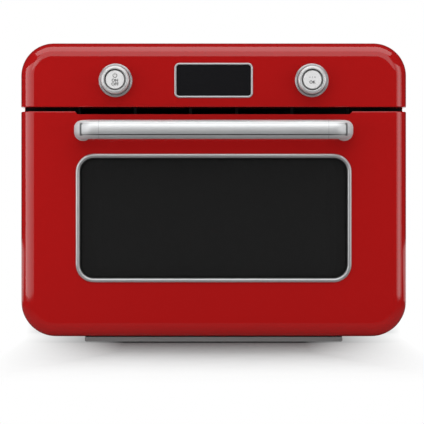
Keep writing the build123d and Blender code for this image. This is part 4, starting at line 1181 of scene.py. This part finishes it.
def draw_ring(w: Wiring, given: dict) -> NodeSocket:
    """The same part evenly spaced round Z, each turned with its place.

    Args:
        w: The tree's wiring.
        given: The tree's inputs by name.

    Returns:
        The geometry.
    """
    feeds = {"Vertices": given["Count"], "Radius": given["Radius"]}
    circle = w.put("GeometryNodeMeshCircle", feeds).outputs[0]
    step = w.sum("DIVIDE", 2 * math.pi, given["Count"])
    angle = w.sum("MULTIPLY", w.put("GeometryNodeInputIndex").outputs[0], step)
    turn = w.put("FunctionNodeAxisAngleToRotation", {"Axis": (0, 0, 1), "Angle": angle}).outputs[0]
    feeds = {"Points": circle, "Instance": shared_part(w, given), "Rotation": turn}
    return w.put("GeometryNodeInstanceOnPoints", feeds).outputs[0]


def draw_coil(w: Wiring, given: dict) -> NodeSocket:
    """A round wire wound into an even coil along Z.

    Args:
        w: The tree's wiring.
        given: The tree's inputs by name.

    Returns:
        The geometry.
    """
    feeds = {"Resolution": 24, "Rotations": given["Turns"], "Start Radius": given["Radius"],
             "End Radius": given["Radius"], "Height": given["Length"]}
    spiral = w.put("GeometryNodeCurveSpiral", feeds).outputs[0]
    wire = w.put("GeometryNodeCurvePrimitiveCircle", {"Resolution": 8, "Radius": given["Wire"]}).outputs[0]
    feeds = {"Curve": spiral, "Profile Curve": wire, "Fill Caps": True}
    return w.put("GeometryNodeCurveToMesh", feeds).outputs[0]


PART = ("Part", "Object", None)
PLACED_INPUTS = (PART, ("Turn", "Vector", (0.0, 0.0, 0.0)), ("Spin", "Float", 0.0), ("Seed", "Int", 4))
ROWS_INPUTS = (PART, ("Width", "Float", 0.1), ("Height", "Float", 0.1), ("Columns", "Int", 2),
               ("Rows", "Int", 8), ("Share", "Float", 1.0), ("Smallest", "Vector", (1.0, 1.0, 1.0)),
               ("Seed", "Int", 7))
RING_INPUTS = (PART, ("Count", "Int", 36), ("Radius", "Float", 0.02))
COIL_INPUTS = (("Turns", "Float", 4.0), ("Radius", "Float", 0.004), ("Length", "Float", 0.005),
               ("Wire", "Float", 0.0005))
PLACED = Repeater("placed_parts", PLACED_INPUTS, draw_placed)
ROWS = Repeater("rows_of_parts", ROWS_INPUTS, draw_rows)
RING = Repeater("ring_of_parts", RING_INPUTS, draw_ring)
COIL = Repeater("wound_coil", COIL_INPUTS, draw_coil)


# The object's pieces


def quarter_turn(axis: str) -> Matrix:
    """A turn of 90 degrees about an axis."""
    return Matrix.Rotation(math.pi / 2, 4, axis)


def moved(mesh: Mesh, place: Sequence[float], turn: Matrix = Matrix.Identity(4)) -> Mesh:
    """The same mesh, turned and then moved to a place."""
    mesh.transform(Matrix.Translation(place) @ turn)
    return mesh


@dataclass
class Assembly:
    """A group of pieces that are made together; lengths in its fields are in millimetres."""

    bench: Bench


@dataclass
class Screws(Assembly):
    """Pan-head screws with a cross recess and a threaded shank."""

    head_radius: float = 3.6
    head_height: float = 2.2
    shank_radius: float = 1.8
    pitch: float = 0.8
    recess: tuple[float, float, float] = (4.0, 0.75, 3.0)
    panel_length: float = 7.0
    cover_length: float = 20.0
    grip_length: float = 12.0
    back_y: float = 200.0

    def part(self, length: float) -> Mesh:
        """One screw along Z, its head's underside at zero and its shank down to -length.

        Args:
            length: The shank's length in millimetres.

        Returns:
            The screw's mesh.
        """
        r, h, s = self.head_radius, self.head_height, self.shank_radius
        thread = []
        for i in range(int((length - 1.0) / self.pitch), 0, -1):
            thread += [(s * 0.8, -i * self.pitch), (s, -(i - 0.5) * self.pitch)]
        profile = [(0, -length), (s * 0.5, -length + 0.3), *thread, (s * 0.8, 0), (r, 0), (r, h * 0.35),
                   (r * 0.93, h * 0.62), (r * 0.72, h * 0.88), (r * 0.4, h), (0, h)]
        body = shown(to_mesh(lathe([(a * MM, b * MM) for a, b in profile], 20), "screw"), "screw")
        cutters = []
        for turn in (0.0, math.pi / 2):
            bm = bmesh.new()
            bmesh.ops.create_cube(bm, size=1.0)
            bmesh.ops.scale(bm, vec=[v * MM for v in self.recess], verts=bm.verts)
            bmesh.ops.rotate(bm, matrix=Matrix.Rotation(turn, 3, "Z"), verts=bm.verts)
            bmesh.ops.translate(bm, vec=(0, 0, (h + 0.1) * MM), verts=bm.verts)
            cutters.append(shown(to_mesh(bm, "recess"), "recess"))
            cut = body.modifiers.new("recess", "BOOLEAN")
            cut.operation, cut.object, cut.solver = "DIFFERENCE", cutters[-1], "EXACT"
        mesh = evaluated(body, "cut_screw")
        for cutter in cutters:
            bpy.data.objects.remove(cutter)
        return mesh

    def placed(self, boxes: Sequence[Box], length: float, back: bool) -> Mesh:
        """Screws along Y in the places of plain ones.

        Args:
            boxes: The low and high corners of each plain screw.
            length: The shank's length in millimetres.
            back: True where the heads face the back.

        Returns:
            The mesh of all of them.
        """
        head = self.head_height * MM
        spots = [((low.x + high.x) / 2, high.y - head if back else low.y + head, (low.z + high.z) / 2)
                 for low, high in boxes]
        turn = (-math.pi / 2 if back else math.pi / 2, 0, 0)
        steel = SLOT_FINISHES["steel_screws"]
        return PLACED.run(steel, self.part(length), spots, Turn=turn, Spin=math.pi, Seed=11)

    def build(self) -> None:
        """Puts detailed screws in the place of the plain ones."""
        rear, front = [], []
        for box in islands("fixing_screws"):
            (rear if box[1].y > self.back_y * MM else front).append(box)
        panel = [self.placed(rear, self.panel_length, True), self.placed(front, self.cover_length, False)]
        grips = self.placed(islands("handle_screws"), self.grip_length, True)
        self.bench.piece("panel_screws", joined(panel, "panel_screws"), Body.ROOT, "steel_screws",
                         ["fixing_screws"], 35.0)
        self.bench.piece("handle_bolts", grips, Body.DOOR, "steel_screws", ["handle_screws"], 35.0)


@dataclass
class Feet(Assembly):
    """Ribbed rubber feet."""

    ribs: int = 3

    def build(self) -> None:
        """Puts ribbed hollow feet in the place of the plain ones."""
        boxes = islands("feet")
        low, high = boxes[0]
        r, top = (high.x - low.x) / 2, high.z - low.z
        inner, outer = r * 0.45, r * 0.9
        profile = [(0, top), (r * 0.86, top), (outer, top * 0.55), (r, top * 0.16), (r * 0.97, top * 0.05),
                   (outer, 0)]
        step = (outer - inner) / (2 * self.ribs)
        for i in range(1, 2 * self.ribs):
            depth = 0.0 if i % 2 == 0 else top * 0.12
            profile += [(outer - step * (i - 0.1), depth), (outer - step * (i + 0.75), depth)]
        profile += [(inner, 0), (inner, top * 0.5), (0, top * 0.5)]
        spots = [((a.x + b.x) / 2, (a.y + b.y) / 2, a.z) for a, b in boxes]
        mesh = PLACED.run(SLOT_FINISHES["foot_rubber"], to_mesh(lathe(profile, 40), "foot"), spots, Seed=3)
        self.bench.piece("rubber_feet", mesh, Body.ROOT, "foot_rubber", ["feet"])


@dataclass
class HingeCoils(Assembly):
    """Wound springs on the door's hinge pins."""

    turns: float = 4.2
    wire: float = 0.55

    def build(self) -> None:
        """Winds a coil in the space of each plain sleeve."""
        steel, wire, coils = SLOT_FINISHES["hinge_steel"], self.wire * MM, []
        for low, high in islands("hinge_springs"):
            radius, length = (high.z - low.z) / 2 - wire, high.x - low.x - 2 * wire
            mesh = COIL.run(steel, Turns=self.turns, Radius=radius, Length=length, Wire=wire)
            middle = (low + high) / 2
            coils.append(moved(mesh, (low.x + wire, middle.y, middle.z), quarter_turn("Y")))
        self.bench.piece("hinge_coils", joined(coils, "hinge_coils"), Body.ROOT, "hinge_steel",
                         ["hinge_springs"])


@dataclass
class BlowerWheel(Assembly):
    """The cooling blower's squirrel-cage wheel."""

    blades: int = 32
    blade_width: float = 6.5
    blade_sheet: float = 0.6
    blade_bow: float = 1.6
    lean: float = 32.0
    disc: float = 1.2
    end_gap: float = 4.0
    shaft: float = 3.0
    hub: float = 7.0
    rim: float = 7.0
    boss: float = 1.5
    inset: float = 0.3

    def blade(self, length: float) -> BMesh:
        """One curved blade along Z.

        Args:
            length: The blade's length in metres.

        Returns:
            Its shape.
        """
        rings = []
        for i in range(5):
            lean = math.radians(self.lean) * (i / 4 - 0.5)
            x, y = -self.blade_width * MM * i / 4, math.sin(lean * 2) * self.blade_bow * MM
            half = self.blade_sheet * MM / 2
            rings.append([(x, y - half, 0), (x, y - half, length), (x, y + half, length), (x, y + half, 0)])
        return loft(rings)

    def build(self) -> None:
        """Puts a wheel with curved blades in the place of the plain one."""
        low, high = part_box("blower_rotor")
        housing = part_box("blower_housing")
        radius, middle = (high.z - low.z) / 2, (low + high) / 2
        start = housing[0].x + self.end_gap * MM
        length = housing[1].x - self.end_gap * MM - start
        blade = to_mesh(self.blade(length), "blade")
        cage = RING.run(SLOT_FINISHES["cast_aluminium"], blade, Count=self.blades,
                        Radius=radius - self.inset * MM)
        d, shaft, hub, inner = self.disc * MM, self.shaft * MM, self.hub * MM, radius - self.rim * MM
        boss = length + self.boss * MM
        rim = [(inner, 0), (radius, 0), (radius, d), (inner, d), (inner, 0)]
        far = [(a, length - b) for a, b in rim]
        plate = [(shaft, length - d), (radius, length - d), (radius, length), (hub, length), (hub, boss),
                 (shaft, boss), (shaft, length - d)]
        ends = (low.x - start, high.x - start)
        rod = [(0, ends[0]), (shaft, ends[0]), (shaft, ends[1]), (0, ends[1])]
        mesh = joined([lathe(rim), lathe(far), lathe(plate), lathe(rod, 20), cage], "blower_wheel")
        moved(mesh, (start, middle.y, middle.z), quarter_turn("Y"))
        self.bench.piece("blower_wheel", mesh, Body.BLOWER, "cast_aluminium", ["blower_rotor"])


@dataclass
class RearLouvres(Assembly):
    """Sloping blades behind the rear panel's air slots."""

    columns_apart: float = 186.0
    rows: int = 8
    pitch: float = 13.0
    length: float = 96.0
    blade: float = 8.0
    sheet: float = 0.8
    first_z: float = 167.6
    behind: float = 1.3

    def build(self) -> None:
        """Fits the blades, one below each slot, rising inwards."""
        half, b, t = self.length * MM / 2, self.blade * MM, self.sheet * MM
        line = [(0.0, 0.0), (-b * 0.35, b * 0.12), (-b * 0.75, b * 0.55), (-b, b)]
        rings = [[(-half, y, z), (-half, y, z + t), (half, y, z + t), (half, y, z)] for y, z in line]
        width, height = self.columns_apart * MM, self.pitch * (self.rows - 1) * MM
        mesh = ROWS.run(SLOT_FINISHES["black_enamel"], to_mesh(loft(rings), "blade"), Width=width,
                        Height=height, Columns=2, Rows=self.rows, Share=1.0, Seed=1)
        moved(mesh, (0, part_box("rear_panel")[1].y - self.behind * MM, self.first_z * MM))
        self.bench.piece("rear_louvres", mesh, Body.ROOT, "black_enamel")


@dataclass
class DoorSeal(Assembly):
    """The hollow silicone seal round the cavity's mouth."""

    corner_radius: float = 19.5
    half_width: float = 3.5

    def build(self) -> None:
        """Puts a bulb seal with a sealing lip in the place of the plain ring."""
        low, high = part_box("cavity_gasket")
        depth, half = high.y - low.y, self.half_width * MM
        section = [(-half, depth), (half, depth), (half, depth * 0.78)]
        for i in range(13):
            angle = math.pi * i / 12
            section.append((half * 0.92 * math.cos(angle), depth * 0.72 * (1 - math.sin(angle))))
        section.append((-half, depth * 0.78))
        size = (high.x - low.x - 2 * half, high.z - low.z - 2 * half)
        bulb = rounded_frame([(a, b + low.y) for a, b in section], size, self.corner_radius * MM, 12)
        mesh = moved(to_mesh(bulb, "door_seal"), ((low.x + high.x) / 2, 0, (low.z + high.z) / 2))
        self.bench.piece("door_seal", mesh, Body.ROOT, "black_seal", ["cavity_gasket"], 60.0)


@dataclass
class Insulation(Assembly):
    """The needled wool blanket round the cavity; lumps and tufts are how many come to a metre."""

    voxel: float = 5.0
    dent: float = 2.2
    lumps: float = 28.0
    tufts: float = 120.0
    lumps_share: float = 0.65

    def build(self) -> None:
        """Softens the plain blanket: rounded corners and uneven faces that stay inside its space."""
        bm = bmesh.new()
        bm.from_mesh(frame["nodes"]["insulation_blanket"].data)
        bmesh.ops.remove_doubles(bm, verts=bm.verts, dist=1e-6)
        thing = shown(to_mesh(bm, "wool"), "wool")
        remesh = thing.modifiers.new("even", "REMESH")
        remesh.mode, remesh.voxel_size = "VOXEL", self.voxel * MM
        soften = thing.modifiers.new("soften", "SMOOTH")
        soften.factor, soften.iterations = 0.5, 3
        mesh = evaluated(thing, "wool_blanket")
        normals = [v.normal.copy() for v in mesh.vertices]
        for vert, normal in zip(mesh.vertices, normals):
            broad = noise.noise(vert.co * self.lumps) * 0.5 + 0.5
            fine = noise.noise(vert.co * self.tufts + Vector((7.0, 3.0, 5.0))) * 0.5 + 0.5
            depth = self.lumps_share * broad + (1 - self.lumps_share) * fine
            vert.co -= normal * self.dent * MM * depth
        piece = self.bench.piece("wool_blanket", mesh, Body.ROOT, "blanket", ["insulation_blanket"], 180.0)


@dataclass
class BoardParts(Assembly):
    """Small electronic parts on the two circuit boards; an area is a width, a height, columns and rows."""

    chip: tuple[float, float, float] = (7.0, 1.6, 4.6)
    chamfer: float = 0.25
    smallest: tuple[float, float, float] = (0.3, 0.5, 0.3)
    control_area: tuple[float, float, int, int] = (260.0, 32.0, 22, 5)
    control_share: float = 0.45
    power_area: tuple[float, float, int, int] = (130.0, 120.0, 11, 12)
    power_share: float = 0.4
    board_inset: float = 6.6

    def chips(self, area: tuple[float, float, int, int], share: float, seed: int) -> Mesh:
        """Flat chips with chamfered edges, scattered over a board in XZ.

        Args:
            area: The width and height of the rows that they stand in, and how many columns and rows.
            share: How many of the places are taken, as a share of one.
            seed: The seed of the scatter.

        Returns:
            The mesh of all of them.
        """
        bm = bmesh.new()
        bmesh.ops.create_cube(bm, size=1.0)
        bmesh.ops.scale(bm, vec=[v * MM for v in self.chip], verts=bm.verts)
        bmesh.ops.bevel(bm, geom=bm.edges, offset=self.chamfer * MM, segments=1, affect="EDGES")
        width, height, columns, rows = area
        return ROWS.run(CHIP_PLASTIC, to_mesh(bm, "chip"), Smallest=self.smallest, Width=width * MM,
                        Height=height * MM, Columns=columns, Rows=rows, Share=share, Seed=seed)

    def build(self) -> None:
        """Scatters chips on the back of the control board and on the power board."""
        low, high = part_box("control_board")
        mesh = self.chips(self.control_area, self.control_share, 5)
        moved(mesh, (0, high.y + self.chip[1] * MM / 2, (low.z + high.z) / 2))
        self.bench.piece("control_chips", mesh, Body.ROOT, "dark_plastic", finish=CHIP_PLASTIC)
        low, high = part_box("power_board")
        mesh = self.chips(self.power_area, self.power_share, 9)
        middle = (low + high) / 2
        x = high.x - (self.board_inset + self.chip[1] / 2) * MM
        moved(mesh, (x, middle.y, middle.z), quarter_turn("Z"))
        self.bench.piece("power_chips", mesh, Body.ROOT, "dark_plastic", finish=CHIP_PLASTIC)


@dataclass
class Labels(Assembly):
    """The printed signs on the two push buttons, with places measured from each button's middle."""

    ink: float = 0.06
    letter: float = 5.2
    bold: float = 0.14
    line: float = 0.5
    power_z: float = 5.2
    power_radius: float = 2.9
    power_bar: tuple[float, float, float] = (7.1, 0.8, 3.0)
    on_z: float = -1.1
    off_z: float = -5.9
    sign_x: float = 3.3
    sign_z: float = 3.0
    minus_width: float = 1.8
    divider_height: float = 2.2
    plus_arm: tuple[float, float] = (0.6, 0.7)
    ok_z: float = -3.4

    def words(self, text: str, x: float, z: float, front: float) -> Mesh:
        """Raised lettering that faces the front.

        Args:
            text: What it says.
            x: Its middle along X, in metres.
            z: Its middle height, in metres.
            front: Where the button's face is, in metres.

        Returns:
            The letters.
        """
        curve = bpy.data.curves.new("letters", "FONT")
        curve.body, curve.size = text, self.letter * MM
        curve.align_x, curve.align_y = "CENTER", "CENTER"
        curve.extrude, curve.resolution_u, curve.offset = self.ink * MM, 4, self.bold * MM
        mesh = evaluated(shown(curve, "letters"), "letters")
        bm = bmesh.new()
        bm.from_mesh(moved(mesh, (x, front, z), quarter_turn("X")))
        bmesh.ops.remove_doubles(bm, verts=bm.verts, dist=1e-8)
        return to_mesh(bm, "letters")

    def flat(self, outline: Sequence[Point], x: float, z: float, front: float) -> BMesh:
        """A printed shape, its outline in millimetres round x and z."""
        placed = [(x + a * MM, z + b * MM) for a, b in outline]
        return prism(placed, front - self.ink * MM, front + self.ink * MM)

    def arc(self, x: float, z: float, radius: float, front: float) -> BMesh:
        """The open ring of a power sign.

        Args:
            x: The ring's middle along X, in metres.
            z: The ring's middle height, in metres.
            radius: The ring's outer radius in millimetres.
            front: Where the button's face is, in metres.

        Returns:
            The ring.
        """
        start, sweep, steps, inner = math.radians(125), math.radians(290), 24, 0.74
        angles = [start + sweep * i / steps for i in range(steps + 1)]
        outer = [(radius * math.cos(a), radius * math.sin(a)) for a in angles]
        return self.flat(outer + [(a * inner, b * inner) for a, b in reversed(outer)], x, z, front)

    def bar(self, x: float, z: float, wide: float, high: float, front: float) -> BMesh:
        """A small rectangle round x and z, its size in millimetres."""
        corners = [(a * wide / 2, b * high / 2) for a, b in ((-1, -1), (1, -1), (1, 1), (-1, 1))]
        return self.flat(corners, x, z, front)

    def build(self) -> None:
        """Prints a power sign with ON and OFF on the left, and minus, plus and OK on the right."""
        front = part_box("left_button")[0].y
        x, z = KNOB_LEFT
        bar_z, bar_width, bar_height = self.power_bar
        left = [self.arc(x, z + self.power_z * MM, self.power_radius, front),
                self.bar(x, z + bar_z * MM, bar_width, bar_height, front),
                self.words("ON", x, z + self.on_z * MM, front),
                self.words("OFF", x, z + self.off_z * MM, front)]
        self.bench.piece("left_button_print", joined(left, "left_print"), Body.LEFT_BUTTON, None,
                         finish=LABEL_INK)
        x, z = KNOB_RIGHT
        offset, length = self.plus_arm
        signs = [(way * self.sign_x, self.sign_z, self.minus_width, self.line) for way in (-1, 1)]
        signs.insert(1, (0.0, self.sign_z, self.line * 0.8, self.divider_height))
        signs += [(self.sign_x, self.sign_z + way * offset, self.line, length) for way in (1, -1)]
        right = [self.bar(x + a * MM, z + b * MM, wide, high, front) for a, b, wide, high in signs]
        right.append(self.words("OK", x, z + self.ok_z * MM, front))
        self.bench.piece("right_button_print", joined(right, "right_print"), Body.RIGHT_BUTTON, None,
                         finish=LABEL_INK)


@dataclass
class LidRibs(Assembly):
    """Grip ribs on the floor of the tank lid's finger cup."""

    count: int = 9
    width: float = 1.4
    height: float = 0.8
    length: float = 14.0
    cup_floor: float = 368.0
    middle: Point = (116.0, 64.0)
    span: float = 44.0

    def build(self) -> None:
        """Stands a row of rounded ribs across the cup's floor."""
        half, h, reach = self.width * MM / 2, self.height * MM, self.length * MM / 2
        arch = [(half * math.cos(math.pi * i / 6), h * math.sin(math.pi * i / 6)) for i in range(7)]
        rib = loft([[(x, y, z) for x, z in arch] for y in (-reach, reach)])
        x, y = self.middle
        first, step = x - self.span / 2, self.span / (self.count - 1)
        spots = [((first + i * step) * MM, y * MM, self.cup_floor * MM) for i in range(self.count)]
        mesh = PLACED.run(SLOT_FINISHES["dark_plastic"], to_mesh(rib, "rib"), spots, Seed=2)
        self.bench.piece("lid_grip_ribs", mesh, Body.TANK, "dark_plastic")


# The CAD nodes that stay


class Frame:
    """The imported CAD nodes, which keep their shapes and get better finishes."""

    def dress(self) -> None:
        """Gives every CAD node the finish of its slot, or its own."""
        for old in list(bpy.data.materials):
            bpy.data.materials.remove(old)
        slots = {row["node"]: row["material_slot"] for row in frame["record"]["subparts"]}
        for name, node in frame["nodes"].items():
            finish = NODE_FINISHES.get(name, SLOT_FINISHES[slots[name]])
            if not node.material_slots:
                node.data.materials.append(None)
            for holder in node.material_slots:
                holder.material = finish.material()
            log.info("%s: %s", name, finish.name)


# The studio


@dataclass(frozen=True)
class Lamp:
    """A rectangular soft light, whose glow may change from its left end over its middle to its right end."""

    name: str
    place: tuple[float, float, float]
    aim: tuple[float, float, float]
    size: Point
    glow: float
    shares: tuple[float, float, float] = (1.0, 1.0, 1.0)

    def shade(self, tree: NodeTree) -> None:
        """Wires the change of glow along the lamp's width.

        Args:
            tree: The light's node tree.
        """
        w = Wiring(tree)
        w.tree.nodes.clear()
        along = w.parts(w.put("ShaderNodeNewGeometry").outputs["Parametric"])[0]
        left, middle, right = self.shares
        first = w.ramp(along, 0.0, 0.5, left, middle)
        glow = w.sum("ADD", first, w.ramp(along, 0.5, 1.0, 0.0, right - middle))
        light = w.put("ShaderNodeEmission", {"Color": PAPER_WHITE, "Strength": glow}).outputs[0]
        w.put("ShaderNodeOutputLight", {"Surface": light})

    def build(self) -> None:
        """Hangs the lamp with the given glow, where 1 shows as white."""
        data = bpy.data.lights.new(self.name, "AREA")
        data.shape, data.size, data.size_y = "RECTANGLE", *self.size
        data.energy = self.glow * math.pi * self.size[0] * self.size[1]
        if min(self.shares) < 1.0:
            data.use_nodes = True
            self.shade(data.node_tree)
        thing = shown(data, self.name)
        thing.location = self.place
        thing.rotation_mode = "QUATERNION"
        thing.rotation_quaternion = (Vector(self.aim) - Vector(self.place)).to_track_quat("-Z", "Y")


@dataclass
class Studio:
    """The pale floor, the soft lights and the camera."""

    lamps: tuple[Lamp, ...] = (
        Lamp("overhead", (0.0, -0.95, 2.0), (0.0, -0.951, 0.2), (3.3, 1.65), 2.05),
        Lamp("high_front", (0.0, -2.01, 1.35), (0.0, 0.0, 0.616), (2.6, 1.38), 1.22),
        Lamp("left_side", (-0.93, -0.83, 0.38), (-0.24, -0.195, 0.38), (1.26, 0.74), 2.9, (1.0, 0.6, 0.25)),
        Lamp("right_side", (1.028, -0.726, 0.38), (0.24, -0.195, 0.38), (0.9, 0.74), 2.45, (0.2, 1.0, 0.2)),
    )
    floor_half: float = 6.0
    fill: float = 0.31
    dim: float = 0.03
    contact: float = 0.45
    painted_shadow_power: float = 2.35
    mirrored: float = 0.2
    lens: float = 146.6
    camera_place: tuple[float, float, float] = (-0.0021, -2.397, 0.167)

    def shiny(self, w: Wiring) -> NodeSocket:
        """One for rays that come from metal or through glass."""
        path = w.put("ShaderNodeLightPath").outputs
        return w.sum("MAXIMUM", path["Is Glossy Ray"], path["Is Transmission Ray"])

    def floor_paint(self, w: Wiring) -> None:
        """Wires the floor: matt with a painted contact shadow from ambient occlusion, deepest to the camera,
        and white to the camera away from the object.

        Args:
            w: The wiring of the floor's material.
        """
        place, shiny = w.here(), self.shiny(w)
        across, deep, _ = w.parts(place)
        seen = w.put("ShaderNodeLightPath").outputs["Is Camera Ray"]
        # Painted shadow: ambient occlusion darkens the floor's colour near the object, raised to a power for
        # camera rays so that the contact shadow is deeper than the lamps cast it.
        near = w.put("ShaderNodeAmbientOcclusion", {"Distance": self.contact}, samples=12).outputs["AO"]
        tone = w.ramp(w.noise(place, 30.0, 3.0), 0.3, 0.7, 0.74, 0.78)
        tone = w.sum("MULTIPLY", tone, w.sum("POWER", near, w.sum("MULTIPLY", seen, self.painted_shadow_power)))
        tone = w.sum("MULTIPLY", tone, w.ramp(shiny, 0.0, 1.0, 1.0, self.mirrored))
        matt = w.put("ShaderNodeBsdfDiffuse", {"Color": w.grey(tone)}).outputs[0]
        reach = w.length(w.here((1.0, 1.3, 1.0)))
        white, dusk = (w.put("ShaderNodeEmission", {"Color": PAPER_WHITE, "Strength": glow}).outputs[0]
                       for glow in (1.0, self.dim))
        distant = w.ramp(deep, 0.0, 0.4, 0.0, 1.0)
        gloss = w.put("ShaderNodeMixShader", {0: distant, 1: dusk, 2: white}).outputs[0]
        beyond = w.sum("MULTIPLY", shiny, w.ramp(reach, 0.38, 0.62, 0.0, 1.0))
        first = w.put("ShaderNodeMixShader", {0: beyond, 1: matt, 2: gloss}).outputs[0]
        start, end = w.ramp(deep, -0.05, 0.0, 0.115, 0.2), w.ramp(deep, -0.1, 0.2, 0.25, 0.28)
        side = w.ramp(w.sum("ABSOLUTE", across), start, end, 0.0, 1.0)
        away = w.sum("MAXIMUM", side, w.ramp(reach, 0.45, 0.95, 0.0, 1.0))
        away = w.sum("MULTIPLY", seen, away)
        blend = w.put("ShaderNodeMixShader", {0: away, 1: first, 2: white}).outputs[0]
        w.put("ShaderNodeOutputMaterial", {"Surface": blend})

    def floor(self) -> None:
        """A pale floor that keeps the object's shadow, with a painted contact shadow near it."""
        bm = bmesh.new()
        bmesh.ops.create_grid(bm, x_segments=24, y_segments=24, size=self.floor_half)
        thing = shown(to_mesh(bm, "floor"), "floor")
        paint = bpy.data.materials.new("pale_floor")
        paint.use_nodes = True
        paint.node_tree.nodes.clear()
        self.floor_paint(Wiring(paint.node_tree))
        thing.data.materials.append(paint)

    def surroundings(self) -> None:
        """White to the camera, and to gloss and glass straight behind; dim in front for deep enamel."""
        world = bpy.data.worlds.new("studio")
        bpy.context.scene.world = world
        world.use_nodes = True
        w = Wiring(world.node_tree)
        w.tree.nodes.clear()
        back = w.parts(w.put("ShaderNodeTexCoord").outputs["Generated"])[1]
        behind = w.ramp(back, 0.93, 0.98, self.dim, 1.0)
        plain = w.sum("MULTIPLY_ADD", w.sum("SUBTRACT", behind, self.fill), self.shiny(w), self.fill)
        glow = w.sum("MAXIMUM", plain, w.put("ShaderNodeLightPath").outputs["Is Camera Ray"])
        light = w.put("ShaderNodeBackground", {"Color": PAPER_WHITE, "Strength": glow}).outputs[0]
        w.put("ShaderNodeOutputWorld", {"Surface": light})

    def camera(self) -> None:
        """A long lens straight in front, a little below the middle of the oven."""
        data = bpy.data.cameras.new("camera")
        data.lens, data.sensor_width = self.lens, 36.0
        thing = shown(data, "camera")
        thing.location = self.camera_place
        thing.rotation_euler = (math.pi / 2, 0, 0)
        bpy.context.scene.camera = thing

    def build(self) -> None:
        """Sets up everything round the object."""
        bpy.context.scene.view_settings.view_transform = "Standard"
        self.floor()
        self.surroundings()
        for lamp in self.lamps:
            lamp.build()
        self.camera()


def main() -> None:
    """Dresses the frame, builds the added pieces and sets up the studio."""
    logging.basicConfig(level=logging.INFO, format="%(message)s")
    Frame().dress()
    bench = Bench()
    groups = (Screws, Feet, HingeCoils, BlowerWheel, RearLouvres, DoorSeal, Insulation, BoardParts, Labels,
              LidRibs)
    for group in groups:
        group(bench).build()
    log.info("%d added pieces", len(bench.made))
    Studio().build()


if __name__ == "__main__":
    main()
